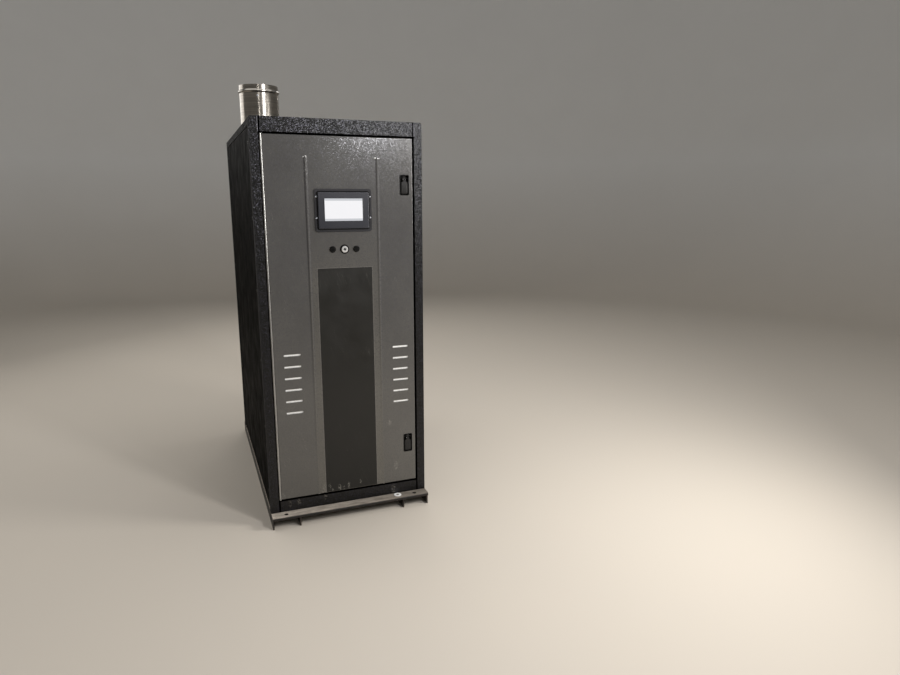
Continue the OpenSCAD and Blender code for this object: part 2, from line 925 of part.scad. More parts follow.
// The insulated vessel: a jacketed drum with a domed top
module vessel_jacket() {
    r = vessel_d / 2;
    neck_r = 150;
    band_r = r + 2;
    band_z = 200;
    band_h = 25;
    color([0.82, 0.82, 0.8])
        translate([0, vessel_y, 0])
            rotate_extrude()
                polygon([[0, vessel_z], [r, vessel_z],
                         [r, vessel_z + band_z], [band_r, vessel_z + band_z],
                         [band_r, vessel_z + band_z + band_h], [r, vessel_z + band_z + band_h],
                         [r, vessel_top_z - band_z - band_h], [band_r, vessel_top_z - band_z - band_h],
                         [band_r, vessel_top_z - band_z], [r, vessel_top_z - band_z],
                         [r, vessel_top_z], [neck_r, burner_z], [0, burner_z]]);
}

// Four angle legs under the vessel
module vessel_stand() {
    leg_out = vessel_d / 2 - stand_inset;
    leg_w = stand_w;
    leg_t = 5;
    z0 = cabinet_z + sheet_t;
    color([0.3, 0.31, 0.32])
        for (a = [60 : 90 : 330])
            translate([0, vessel_y, 0])
                rotate([0, 0, a])
                    difference() {
                        block([leg_out - leg_w, -leg_w / 2, z0], [leg_out, leg_w / 2, vessel_z]);
                        block([leg_out - leg_w - through, -leg_w / 2 + leg_t, z0 + leg_t],
                              [leg_out - leg_t, leg_w / 2 + through, vessel_z - leg_t]);
                    }
}

// The flue box under the vessel and its duct to the foot of the riser
module flue_box() {
    duct_d = 150;
    duct_z = (flue_box_z + vessel_z) / 2;
    riser_foot_r = flue_d / 2 + 6;
    color([0.7, 0.71, 0.72]) {
        rod_z(0, vessel_y, 2 * flue_box_r, flue_box_z, vessel_z);
        rod_z(flue_x, flue_y, 2 * riser_foot_r, flue_box_z, riser_z);
        translate([0, vessel_y, duct_z])
            rotate([0, 0, atan2(flue_y - vessel_y, flue_x)])
                rotate([0, 90, 0])
                    cylinder(d = duct_d, h = norm([flue_x, flue_y - vessel_y]));
    }
}

// The stainless riser, up through the roof to its first joint
module flue_riser() {
    r = flue_d / 2;
    bead = 5;
    color([0.78, 0.78, 0.77])
        translate([flue_x, flue_y, 0])
            rotate_extrude()
                polygon([[r - flue_t, riser_z], [r, riser_z],
                         [r, flue_top_z - 40], [r + bead, flue_top_z - 34],
                         [r + bead, flue_top_z - 30], [r, flue_top_z - 24],
                         [r, flue_top_z], [r - flue_t, flue_top_z]]);
}

// The collar that closes the roof round the riser
module flue_collar() {
    r = flue_d / 2;
    collar_t = 2;
    plate_out = 24;
    color([0.6, 0.6, 0.6])
        translate([flue_x, flue_y, roof_z])
            rotate_extrude()
                polygon([[r + fit, 0], [r + plate_out, 0], [r + plate_out, collar_t],
                         [r + fit + collar_t, collar_t], [r + fit + collar_t, flue_collar_h],
                         [r + fit, flue_collar_h]]);
}

// The burner's mounting plate with its studs
module burner_plate() {
    plate_r = 140;
    stud_count = 8;
    stud_pcr = 122;
    color([0.45, 0.46, 0.47])
        translate([0, vessel_y, 0]) {
            rod_z(0, 0, 2 * plate_r, burner_z, burner_z + burner_plate_t);
            for (i = [0 : stud_count - 1])
                rotate([0, 0, (i + 0.5) * 360 / stud_count])
                    rod_z(stud_pcr, 0, 18, burner_z + burner_plate_t, burner_z + burner_plate_t + 14);
        }
}

// The burner's blower: a scroll housing, its motor and the neck to the burner
module burner_blower() {
    neck_d = 110;
    bend_r = 62;
    motor_d = 120;
    motor_l = 110;
    color([0.62, 0.63, 0.64]) {
        rod_z(0, vessel_y, neck_d, burner_z + burner_plate_t, blower_z - bend_r);
        translate([0, vessel_y, blower_z - bend_r])
            rotate([0, 0, -90])
                quarter_bend(neck_d, bend_r);
        rod_y(0, blower_z, neck_d, blower_y, vessel_y - bend_r);
        rod_y(blower_x, blower_z, 2 * blower_r, blower_y - blower_t / 2, blower_y + blower_t / 2);
        rod_y(blower_x, blower_z, motor_d, blower_y - blower_t / 2 - motor_l, blower_y);
    }
}

// The gas train: the run from the inlet to the blower with its control valve
module gas_train() {
    valve_w = 90;
    valve_l = 150;
    valve_h = 120;
    valve_y = vessel_y + valve_back;
    run_y0 = blower_y;
    color([0.3, 0.3, 0.31]) {
        rod_y(gas_x, gas_run_z, gas_pipe_d, run_y0 + gas_elbow_h, gas_y - gas_elbow_h);
        rod_x(run_y0, gas_run_z, gas_pipe_d, blower_x + blower_r, gas_x - gas_elbow_h);
        translate([gas_x, gas_y, gas_run_z + gas_elbow_h])
            rotate([0, 0, -90])
                mirror([0, 0, 1])
                    quarter_bend(gas_elbow_d, gas_elbow_h);
        translate([gas_x, run_y0 + gas_elbow_h, gas_run_z])
            rotate([90, 0, 0])
                mirror([1, 0, 0])
                    quarter_bend(gas_elbow_d, gas_elbow_h);
        block([gas_x - valve_w / 2, valve_y - valve_l / 2, gas_run_z - valve_h / 2],
              [gas_x + valve_w / 2, valve_y + valve_l / 2, gas_run_z + valve_h / 2]);
    }
}

// The gas inlet: a pipe down through the roof to the gas train, with a coupling
// that stands on the roof
module gas_inlet() {
    gas_pipe_t = 3.4;
    bore_depth = 160;
    color([0.1, 0.1, 0.1])
        difference() {
            union() {
                rod_z(gas_x, gas_y, gas_pipe_d, gas_run_z + gas_elbow_h, roof_z + gas_rise);
                rod_z(gas_x, gas_y, gas_pipe_d + 2 * coupling_out, roof_z, roof_z + coupling_h);
            }
            rod_z(gas_x, gas_y, gas_pipe_d - 2 * gas_pipe_t, roof_z + gas_rise - bore_depth,
                  roof_z + gas_rise + through);
        }
}

// The hub for the electrical supply, with its locknut under the roof
module conduit_hub() {
    hub_r = 17;
    hub_h = 22;
    neck_h = 12;
    bore_r = 10.5;
    color([0.62, 0.62, 0.6])
        translate([conduit_x, conduit_y, roof_z])
            rotate_extrude()
                polygon([[bore_r, -neck_h], [conduit_neck_r, -neck_h], [conduit_neck_r, 0],
                         [hub_r, 0], [hub_r, hub_h], [bore_r, hub_h]]);
}

// The electrical box on the inside of the left panel
module control_box() {
    box_d = 150;
    box_w = 250;
    box_z0 = cabinet_z + box_rise;
    box_z1 = box_z0 + box_h;
    lid_t = 12;
    lid_out = 4;
    y0 = side_y0 + box_back;
    x0 = -side_inner_x;
    color([0.5, 0.52, 0.54]) {
        block([x0, y0, box_z0], [x0 + box_d, y0 + box_w, box_z1]);
        block([x0 + box_d, y0 - lid_out, box_z0 - lid_out],
              [x0 + box_d + lid_t, y0 + box_w + lid_out, box_z1 + lid_out]);
    }
}

// A flanged water pipe from the vessel through the rear panel
module water_nozzle(z) {
    flange_bolts = 4;
    pipe_bore_d = water_pipe_d - 11;
    bore_depth = 200;
    difference() {
        union() {
            rod_y(water_x, z, water_pipe_d, vessel_y, flange_face_y);
            rod_y(water_x, z, flange_d, flange_face_y - flange_t, flange_face_y);
        }
        rod_z(0, vessel_y, vessel_d, vessel_z, vessel_top_z);
        rod_y(water_x, z, pipe_bore_d, flange_face_y - bore_depth, flange_face_y + through);
        for (i = [0 : flange_bolts - 1])
            translate([water_x, 0, z])
                rotate([0, (i + 0.5) * 360 / flange_bolts, 0])
                    rod_y(flange_pcd / 2, 0, flange_hole_d,
                          flange_face_y - flange_t - through, flange_face_y + through);
    }
}

module water_supply() {
    color([0.42, 0.43, 0.44])
        water_nozzle(supply_z);
}

module water_return() {
    color([0.42, 0.43, 0.44])
        water_nozzle(return_z);
}

// The condensate drain from the flue box out through the rear panel, with a
// coupling that covers the hole in the panel
module condensate_drain() {
    drain_bore_d = drain_d - 7;
    bore_depth = 150;
    color([0.75, 0.75, 0.74])
        difference() {
            union() {
                rod_y(drain_x, drain_z, drain_d, vessel_y, flange_face_y);
                rod_y(drain_x, drain_z, drain_d + 2 * coupling_out, rear_y - panel_inset,
                      rear_y - panel_inset + coupling_h);
            }
            rod_z(0, vessel_y, 2 * flue_box_r, drain_z - drain_d, vessel_z);
            rod_y(drain_x, drain_z, drain_bore_d, flange_face_y - bore_depth,
                  flange_face_y + through);
        }
}

base_foot_left();
base_foot_right();
base_cross_front();
base_cross_rear();
floor_pan();
front_post_left();
front_post_right();
rear_post_left();
rear_post_right();
top_band();
bottom_band();
side_panel_left();
side_panel_right();
rear_panel();
roof_panel();
hinge_frame_leaf();
hinge_pin();
front_door();
hinge_door_leaf();
slot_baffles();
operator_rim();
operator_panel();
display_screen();
blank_buttons();
switch_collar();
key_switch();
door_stripe();
latch_cups();
upper_latch_paddle();
lower_latch_paddle();
vessel_jacket();
vessel_stand();
flue_box();
flue_riser();
flue_collar();
burner_plate();
burner_blower();
gas_train();
gas_inlet();
conduit_hub();
control_box();
water_supply();
water_return();
condensate_drain();
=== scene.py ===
# %% [markdown]
# # A cabinet boiler, dressed over its frame
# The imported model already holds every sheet, post and pipe in the right place.
# This lesson adds what a drawing leaves out: paint, dust and wear, and the small
# pieces such as screws, gaskets and threads. Everything is in metres, with X to
# the right along the front, Y towards the back, Z up, and the floor at zero.

# %% Load the frame
import json
import math

import bmesh
import bpy
import numpy as np
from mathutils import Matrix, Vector


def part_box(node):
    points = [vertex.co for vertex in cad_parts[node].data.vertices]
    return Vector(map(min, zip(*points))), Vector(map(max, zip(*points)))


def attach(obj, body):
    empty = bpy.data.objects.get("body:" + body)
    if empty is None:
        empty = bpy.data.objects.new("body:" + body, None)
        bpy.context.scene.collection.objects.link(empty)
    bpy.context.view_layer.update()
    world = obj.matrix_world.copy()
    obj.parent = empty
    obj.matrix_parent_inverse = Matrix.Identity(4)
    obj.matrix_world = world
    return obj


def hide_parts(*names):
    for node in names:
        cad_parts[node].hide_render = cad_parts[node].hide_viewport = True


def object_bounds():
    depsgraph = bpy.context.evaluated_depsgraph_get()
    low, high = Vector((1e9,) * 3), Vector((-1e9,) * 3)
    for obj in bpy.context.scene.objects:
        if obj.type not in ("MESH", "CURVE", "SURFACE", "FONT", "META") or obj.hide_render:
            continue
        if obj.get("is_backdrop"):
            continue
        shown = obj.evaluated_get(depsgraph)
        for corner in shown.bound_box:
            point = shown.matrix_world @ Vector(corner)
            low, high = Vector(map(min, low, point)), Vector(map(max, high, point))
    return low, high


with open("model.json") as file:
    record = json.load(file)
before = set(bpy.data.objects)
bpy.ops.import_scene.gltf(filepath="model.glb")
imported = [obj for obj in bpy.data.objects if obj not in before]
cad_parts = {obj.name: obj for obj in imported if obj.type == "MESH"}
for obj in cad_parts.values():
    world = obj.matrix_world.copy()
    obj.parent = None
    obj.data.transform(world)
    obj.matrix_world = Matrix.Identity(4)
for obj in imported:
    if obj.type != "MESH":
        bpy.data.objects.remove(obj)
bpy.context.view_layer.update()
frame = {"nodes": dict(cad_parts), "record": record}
MM = 0.001

# %% [markdown]
# The camera stands where the photographer stood: at head height, a step to the
# left of the boiler, tilted a little down. Its place was solved from the corners
# of the cabinet. It comes first, so that every later step can be judged through it.

# %% Camera
camera = bpy.data.objects.new("camera", bpy.data.cameras.new("camera"))
bpy.context.scene.collection.objects.link(camera)
camera.location = (-0.6107, -3.3592, 1.3803)
camera.rotation_euler = (math.radians(78.217), 0, math.radians(-21.795))
camera.data.sensor_width = 36
camera.data.lens = 26.39
bpy.context.scene.camera = camera

# %% [markdown]
# ## Surfaces from arrays
# A new piece is a grid of points: rows along one parameter, columns round the
# other. The whole grid is one numpy array, and the faces join each point to its
# neighbours. The columns always close on themselves. A row whose points all lie
# in one place is a pole, and merging the doubles there closes the surface.

# %% A mesh from grids of points
finishes = {}
made_pieces = {}


def grid_faces(rows, columns, first):
    """Quads of a grid: corner (i, j) joins (i, j+1), (i+1, j+1) and (i+1, j), with j
    running round."""
    i, j = np.meshgrid(np.arange(rows - 1), np.arange(columns), indexing="ij")
    after = (j + 1) % columns
    quads = (i * columns + j, i * columns + after,
             (i + 1) * columns + after, (i + 1) * columns + j)
    return np.stack(quads, axis=-1).reshape(-1, 4) + first


def piece(name, grids, body, slot, finish=None, smooth=True, merge=1e-6):
    """One object from grids of shape (rows, columns, 3), closed at its poles and
    with its faces outwards, riding on a body. Its finish is the slot's own, or a
    variant of it."""
    faces, first = [], 0
    for grid in grids:
        faces.append(grid_faces(grid.shape[0], grid.shape[1], first))
        first += grid.shape[0] * grid.shape[1]
    points = np.concatenate([g.reshape(-1, 3) for g in grids])
    mesh = bpy.data.meshes.new(name)
    mesh.from_pydata(points, [], np.concatenate(faces).tolist())
    work = bmesh.new()
    work.from_mesh(mesh)
    bmesh.ops.remove_doubles(work, verts=work.verts, dist=merge)
    bmesh.ops.recalc_face_normals(work, faces=work.faces)
    work.to_mesh(mesh)
    work.free()
    mesh.polygons.foreach_set("use_smooth", np.full(len(mesh.polygons), smooth))
    thing = bpy.data.objects.new(name, mesh)
    bpy.context.scene.collection.objects.link(thing)
    thing.data.materials.append(finishes[finish or slot])
    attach(thing, body)
    made_pieces[name] = len(mesh.polygons)
    return thing


# %% [markdown]
# Most small parts of a machine are turned or pressed, so they are a profile that
# goes round an axis. A hexagon head is the same thing with a radius that changes
# with the angle. One description serves for every copy of a screw.

# %% Profiles round an axis
def circle_radius(angle):
    """A round shape: the radius is the same at every angle."""
    return np.ones_like(angle)


def hexagon_radius(angle):
    """A hexagon with flats at radius 1: one over the cosine of the angle from the
    middle of the nearest flat."""
    sixth = math.pi / 3
    return 1 / np.cos((angle % sixth) - sixth / 2)


def revolve(profile, turns=24, outline=circle_radius):
    """Point (i, j) lies at radius r_i times outline(angle_j) and at height h_i."""
    radius, height = np.array(profile, float).T
    angle = np.linspace(0, 2 * math.pi, turns, endpoint=False)
    reach = radius[:, None] * outline(angle)[None]
    return np.stack([reach * np.cos(angle), reach * np.sin(angle),
                     np.broadcast_to(height[:, None], reach.shape)], axis=-1)


def stand(grid, axis, place):
    """Turns a grid's own Z to the axis and moves its origin to the place."""
    axis = np.array(axis, float) / np.linalg.norm(axis)
    helper = np.array([0, 0, 1.0]) if abs(axis[2]) < 0.9 else np.array([1.0, 0, 0])
    first = np.cross(helper, axis)
    first /= np.linalg.norm(first)
    second = np.cross(axis, first)
    turned = grid[..., :1] * first + grid[..., 1:2] * second + grid[..., 2:] * axis
    return turned + np.array(place, float)


def copies(grid, axis, places):
    """The same grid at many places."""
    return [stand(grid, axis, place) for place in places]


# %% [markdown]
# ## Shader parts
# A material here is a small chain: object coordinates go into patterns, and the
# patterns decide colour, roughness and bump. The helpers below keep each chain
# short. Patterns that several finishes share are node groups with named sockets.

# %% Helpers for shader nodes
def place(tree, kind, inputs=None, **options):
    """Adds one shader node. Inputs are sockets by name or number, each a constant
    or another node's output; options are the node's own settings."""
    node = tree.nodes.new("ShaderNode" + kind)
    for key, value in options.items():
        setattr(node, key, value)
    for key, value in (inputs or {}).items():
        if isinstance(value, bpy.types.NodeSocket):
            tree.links.new(value, node.inputs[key])
        else:
            node.inputs[key].default_value = value
    return node


def calc(tree, operation, *values, clamp=False):
    """One step of arithmetic on values or sockets."""
    inputs = dict(enumerate(values))
    return place(tree, "Math", inputs, operation=operation, use_clamp=clamp).outputs[0]


def spread(tree, value, low, high, out_low=0.0, out_high=1.0):
    """Carries the range low..high to out_low..out_high, and holds the ends."""
    return place(tree, "MapRange", {"Value": value, "From Min": low, "From Max": high,
                                    "To Min": out_low, "To Max": out_high}).outputs[0]


def noise(tree, coords, scale, detail=2.0, roughness=0.5):
    """Soft noise between 0 and 1, with its features 1/scale metres wide."""
    return place(tree, "TexNoise", {"Vector": coords, "Scale": scale, "Detail": detail,
                                    "Roughness": roughness}).outputs["Fac"]


def stretch(tree, coords, x=1.0, y=1.0, z=1.0):
    """Coordinates multiplied along each axis, so that a pattern runs in streaks."""
    return place(tree, "VectorMath", {0: coords, 1: (x, y, z)},
                 operation="MULTIPLY").outputs[0]


def mix(tree, factor, first, second):
    """The first colour at factor 0, the second at factor 1."""
    node = place(tree, "Mix", data_type="RGBA")
    for socket, value in ((node.inputs[0], factor), (node.inputs[6], first),
                          (node.inputs[7], second)):
        if isinstance(value, bpy.types.NodeSocket):
            tree.links.new(value, socket)
        else:
            socket.default_value = value
    return node.outputs[2]


def layered(tree, paint, *layers):
    """Lays colours over the paint, each one where its mask is 1."""
    for mask, colour in layers:
        paint = mix(tree, mask, paint, colour)
    return paint


def mottled(tree, coat, dark, pale, low=0.35, high=0.65):
    """Paint that drifts between two tones with the mottle of its coat."""
    return mix(tree, spread(tree, coat["Mottle"], low, high), dark, pale)


def rough_by(tree, pattern, least, most):
    """A roughness between two values that follows a pattern."""
    return spread(tree, pattern, 0.3, 0.7, least, most)


def along(tree, coords, axis):
    """One coordinate of the point: X, Y or Z."""
    return place(tree, "SeparateXYZ", {0: coords}).outputs[axis]


def bump(tree, height, distance, strength=1.0, under=None):
    """A normal from a height pattern: distance is how deep a height of 1 is."""
    inputs = {"Height": height, "Distance": distance, "Strength": strength}
    if under is not None:
        inputs["Normal"] = under
    return place(tree, "Bump", inputs).outputs["Normal"]


def rgb(red, green, blue):
    """A colour from the 0 to 255 values of a screen, made linear, with alpha 1."""
    def linear(value):
        value /= 255
        return value / 12.92 if value < 0.04045 else ((value + 0.055) / 1.055) ** 2.4
    return (linear(red), linear(green), linear(blue), 1.0)


def new_group(name, inputs, outputs):
    """An empty shader group with its sockets: inputs are name: (kind, value)."""
    tree = bpy.data.node_groups.new(name, "ShaderNodeTree")
    for label, (kind, value) in inputs.items():
        socket = tree.interface.new_socket(label, in_out="INPUT",
                                           socket_type="NodeSocket" + kind)
        if value is not None:
            socket.default_value = value
    for label, kind in outputs.items():
        tree.interface.new_socket(label, in_out="OUTPUT",
                                  socket_type="NodeSocket" + kind)
    return (tree, tree.nodes.new("NodeGroupInput").outputs,
            tree.nodes.new("NodeGroupOutput").inputs)


def use(tree, group, **inputs):
    """Places a group in a material and gives its outputs by name."""
    node = tree.nodes.new("ShaderNodeGroup")
    node.node_tree = group
    for key, value in inputs.items():
        socket = node.inputs[key.replace("_", " ").capitalize()]
        if isinstance(value, bpy.types.NodeSocket):
            tree.links.new(value, socket)
        else:
            socket.default_value = value
    return node.outputs


def new_material(slot):
    """A material with one Principled shader: gives its tree, the object
    coordinates and the shader's inputs."""
    material = bpy.data.materials.new(slot)
    material.use_nodes = True
    tree = material.node_tree
    tree.nodes.clear()
    shader = place(tree, "BsdfPrincipled")
    place(tree, "OutputMaterial", {"Surface": shader.outputs[0]})
    finishes[slot] = material
    return tree, place(tree, "TexCoord").outputs["Object"], shader.inputs


def feed(tree, sockets, **inputs):
    """Sets or links the shader's inputs, named with underscores for spaces."""
    for key, value in inputs.items():
        socket = sockets[key.replace("_", " ")]
        if isinstance(value, bpy.types.NodeSocket):
            tree.links.new(value, socket)
        else:
            socket.default_value = value


# %% [markdown]
# Hammertone paint dries in small pebbles, and the metal flakes in each pebble lie at
# a slant of their own. So a pebble flashes when its slant sends a lamp to the eye,
# and stays dark beside a bright neighbour. Voronoi cells give the pebbles, their
# random colours give the slants, and a soft noise keeps them from looking like a net.

# %% Hammertone group
hammertone, given, gives = new_group(
    "hammertone", {"Coords": ("Vector", None), "Scale": ("Float", 200.0),
                   "Slant": ("Float", 0.2)},
    {"Height": "Float", "Fleck": "Float", "Flake": "Vector"})
wobble = noise(hammertone, given["Coords"], 90.0, 1.0)
moved = place(hammertone, "VectorMath", {0: given["Coords"], 1: place(
    hammertone, "VectorMath", {0: wobble, "Scale": 0.001},
    operation="SCALE").outputs[0]}, operation="ADD").outputs[0]
pebble = place(hammertone, "TexVoronoi", {"Vector": moved, "Scale": given["Scale"],
                                          "Smoothness": 0.4},
               feature="SMOOTH_F1").outputs["Distance"]
hammertone.links.new(spread(hammertone, pebble, 0.1, 0.75, 1.0, 0.0), gives["Height"])
cell = place(hammertone, "TexVoronoi", {"Vector": moved, "Scale": given["Scale"]})
shade = place(hammertone, "SeparateColor", {0: cell.outputs["Color"]})
hammertone.links.new(spread(hammertone, shade.outputs[0], 0.70, 0.95), gives["Fleck"])
middle = place(hammertone, "VectorMath", {0: cell.outputs["Color"], 1: (0.5, 0.5, 0.5)},
               operation="SUBTRACT").outputs[0]
leaning = place(hammertone, "VectorMath", {0: middle, "Scale": given["Slant"]},
                operation="SCALE").outputs[0]
true_normal = place(hammertone, "NewGeometry").outputs["Normal"]
slanted = place(hammertone, "VectorMath", {0: true_normal, 1: leaning}, operation="ADD")
hammertone.links.new(place(hammertone, "VectorMath", {0: slanted.outputs[0]},
                           operation="NORMALIZE").outputs[0], gives["Flake"])

# %% [markdown]
# Powder coat is a fine even orange peel. One noise of a single size gives the peel,
# because smaller grains would only blur the lamps and not sparkle. A coarser noise
# and a very broad one are the slight unevenness of a large painted sheet.

# %% Powder coat group
powder, given, gives = new_group(
    "powder_coat", {"Coords": ("Vector", None), "Scale": ("Float", 600.0)},
    {"Height": "Float", "Mottle": "Float"})
fine = noise(powder, given["Coords"], given["Scale"], 0.0)
broad = noise(powder, given["Coords"], 3.0, 3.0, 0.6)
coarse = noise(powder, given["Coords"], calc(powder, "MULTIPLY", given["Scale"], 0.35))
powder.links.new(fine, gives["Height"])
powder.links.new(calc(powder, "MULTIPLY_ADD", coarse, 0.25,
                      calc(powder, "MULTIPLY", broad, 0.75)), gives["Mottle"])

# %% [markdown]
# Paint wears through first along edges. The Bevel node rounds the normal near an
# edge, so the difference between it and the true normal marks the edge, and noise
# breaks the mark into chips.

# %% Edge wear group
edge_wear, given, gives = new_group(
    "edge_wear", {"Coords": ("Vector", None), "Radius": ("Float", 0.002),
                  "Amount": ("Float", 0.5)}, {"Mask": "Float"})
rounded = place(edge_wear, "Bevel", {"Radius": given["Radius"]}, samples=4)
true_normal = place(edge_wear, "NewGeometry").outputs["Normal"]
bent = calc(edge_wear, "SUBTRACT", 1.0, place(
    edge_wear, "VectorMath", {0: rounded.outputs[0], 1: true_normal},
    operation="DOT_PRODUCT").outputs["Value"])
chips = noise(edge_wear, given["Coords"], 140.0, 4.0, 0.7)
edge = spread(edge_wear, bent, 0.02, 0.2)
limit = calc(edge_wear, "SUBTRACT", 1.0, given["Amount"])
worn = spread(edge_wear, calc(edge_wear, "SUBTRACT", chips, limit), -0.02, 0.06)
edge_wear.links.new(calc(edge_wear, "MULTIPLY", edge, worn, clamp=True), gives["Mask"])

# %% [markdown]
# Dust lies on what faces up. The normal's Z says how far a face does, and two
# noises make it patchy, with drifts and swept places.

# %% Dust group
dust, given, gives = new_group(
    "dust", {"Coords": ("Vector", None), "Amount": ("Float", 0.6)}, {"Mask": "Float"})
facing = place(dust, "SeparateXYZ", {0: place(dust, "NewGeometry").outputs["Normal"]})
upward = spread(dust, facing.outputs["Z"], 0.35, 0.9)
patches = noise(dust, given["Coords"], 14.0, 5.0, 0.65)
specks = noise(dust, given["Coords"], 260.0, 2.0, 0.7)
cover = calc(dust, "MULTIPLY_ADD", specks, 0.35, patches)
lying = spread(dust, calc(dust, "ADD", cover, given["Amount"]), 0.75, 1.25)
dust.links.new(calc(dust, "MULTIPLY", upward, lying, clamp=True), gives["Mask"])

# %% [markdown]
# Hairline scratches are the thin places where a stretched noise passes through its
# middle value. Smears are the same noise, broad and soft, and change only the gloss.

# %% Scratches and smears group
scratches, given, gives = new_group(
    "scratches", {"Coords": ("Vector", None), "Width": ("Float", 0.003)},
    {"Lines": "Float", "Smear": "Float"})
leaning = place(scratches, "VectorRotate",
                {"Vector": given["Coords"], "Angle": 0.35}, rotation_type="Y_AXIS")
drawn = noise(scratches, stretch(scratches, leaning.outputs[0], 60.0, 60.0, 3.0), 1.0, 3.0)
crossing = calc(scratches, "ABSOLUTE", calc(scratches, "SUBTRACT", drawn, 0.5))
thin = calc(scratches, "LESS_THAN", crossing, given["Width"])
gate = spread(scratches, noise(scratches, given["Coords"], 9.0, 2.0), 0.52, 0.6)
scratches.links.new(calc(scratches, "MULTIPLY", thin, gate), gives["Lines"])
scratches.links.new(noise(scratches, given["Coords"], 11.0, 4.0, 0.6), gives["Smear"])

# %% [markdown]
# Rolled and brushed metal carries fine lines in one direction. The group is given
# coordinates that are already stretched along that direction.

# %% Rolled metal group
rolled, given, gives = new_group(
    "rolled_metal", {"Coords": ("Vector", None)}, {"Height": "Float", "Streak": "Float"})
rolled.links.new(noise(rolled, given["Coords"], 1.0, 3.0, 0.7), gives["Height"])
rolled.links.new(noise(rolled, given["Coords"], 0.13, 3.0, 0.6), gives["Streak"])
print("groups", [g.name for g in bpy.data.node_groups])

# %% [markdown]
# Where things were pushed against the boiler, its paint is scuffed. A scuff is a few
# short curved lines. The lines are where a noise passes through its middle value, and
# they are kept only inside a small ellipse round one point of the face.

# %% Scuff group
scuff, given, gives = new_group(
    "scuff", {"Coords": ("Vector", None), "Centre": ("Vector", (0.0, 0.0, 0.0)),
              "Size": ("Float", 0.02)}, {"Mask": "Float"})
away = place(scuff, "VectorMath", {0: given["Coords"], 1: given["Centre"]},
             operation="SUBTRACT").outputs[0]
far = place(scuff, "VectorMath", {0: stretch(scuff, away, 2.0, 1.0, 0.8)},
            operation="LENGTH").outputs["Value"]
near = calc(scuff, "SUBTRACT", 1.0, calc(scuff, "DIVIDE", far, given["Size"]), clamp=True)
curl = noise(scuff, given["Coords"], 110.0, 2.0, 0.5)
line = spread(scuff, calc(scuff, "ABSOLUTE", calc(scuff, "SUBTRACT", curl, 0.5)),
              0.0, 0.045, 1.0, 0.0)
broken = spread(scuff, noise(scuff, given["Coords"], 320.0, 3.0, 0.7), 0.4, 0.6)
marked = calc(scuff, "MULTIPLY", calc(scuff, "MULTIPLY", line, broken),
              spread(scuff, near, 0.0, 0.4))
scuff.links.new(marked, gives["Mask"])
FRONT_Y, STRIPE_Y = -0.635, -0.6356
JUST_BEHIND_FRONT_Y = FRONT_Y + 0.5 * MM


def scuffed(tree, coords, paint, y, colour, spots):
    """The paint with a scuff at each (x, z) of the face at y, of the given size."""
    for x, z, size in spots:
        rub = use(tree, scuff, coords=coords, centre=(x, y, z), size=size)
        paint = mix(tree, rub["Mask"], paint, colour)
    return paint


# %% [markdown]
# ## The painted finishes
# The posts, bands and roof are black hammertone: nearly black, with bluish metal
# flakes. A flake is partly metallic, so it outshines the paint only where it mirrors a
# lamp. A near-black line of painted shade lies where each post meets the bands, in the
# open seam where the sheets butt, and round the door opening, in its gap. Above the
# opening a pale line beside each seam is a painted highlight on the post's folded edge.
# The band below the door has a few scuffs from shoes.

# %% Black hammertone of the frame
SEAM_X, SEAM_HALF = 0.312, 0.0034
OPENING_X, OPENING_LOW, OPENING_HIGH = 0.315, 0.105, 1.639
tree, coords, shader = new_material("frame_black")
cells = use(tree, hammertone, coords=coords, scale=330.0, slant=0.30)
coat = use(tree, powder, coords=coords, scale=300.0)
wear = use(tree, edge_wear, coords=coords, radius=0.0015, amount=0.36)
dirt = use(tree, dust, coords=coords, amount=0.15)
across = place(tree, "SeparateXYZ", {0: coords})
sideways = calc(tree, "SUBTRACT", calc(tree, "ABSOLUTE", across.outputs["X"]), SEAM_X)
# Painted shade: a near-black line in the open seam where a post meets the bands, and over the
# frame's edges in the gap round the door opening.
seam_shade = calc(tree, "LESS_THAN", calc(tree, "ABSOLUTE", sideways), SEAM_HALF)
rise = calc(tree, "ABSOLUTE", calc(tree, "SUBTRACT", across.outputs["Z"],
                                   (OPENING_LOW + OPENING_HIGH) / 2))
beside = calc(tree, "LESS_THAN", sideways, OPENING_X - SEAM_X)
within = calc(tree, "LESS_THAN", rise, (OPENING_HIGH - OPENING_LOW) / 2)
seam_shade = calc(tree, "MAXIMUM", seam_shade, calc(tree, "MULTIPLY", beside, within))
seam_shade = calc(tree, "MULTIPLY", seam_shade, calc(tree, "LESS_THAN", across.outputs["Y"], -0.59))
# Painted highlight: a pale line on the post's folded edge beside the seam, above the door
# opening.
fold_highlight = calc(tree, "MULTIPLY", calc(tree, "COMPARE", sideways, SEAM_HALF + 0.001, 0.001),
            calc(tree, "GREATER_THAN", across.outputs["Z"], OPENING_HIGH))
paint = mix(tree, cells["Fleck"], rgb(5, 5, 5), rgb(47, 46, 53))
paint = scuffed(tree, coords, paint, FRONT_Y, rgb(140, 134, 124),
                ((-0.113, 0.098, 0.016), (-0.229, 0.095, 0.018), (-0.269, 0.092, 0.018),
                 (0.199, 0.080, 0.022)))
paint = layered(tree, paint, (wear["Mask"], rgb(90, 88, 85)), (dirt["Mask"], rgb(120, 113, 103)),
                (fold_highlight, rgb(120, 120, 126)), (seam_shade, rgb(2, 2, 2)))
to_side = along(tree, place(tree, "NewGeometry").outputs["Normal"], "X")
matt = calc(tree, "GREATER_THAN", calc(tree, "ABSOLUTE", to_side), 0.6)
dull = calc(tree, "MULTIPLY", calc(tree, "MAXIMUM", seam_shade, matt), 0.6)
metal = calc(tree, "MAXIMUM", calc(tree, "MULTIPLY", cells["Fleck"], 0.5), seam_shade)
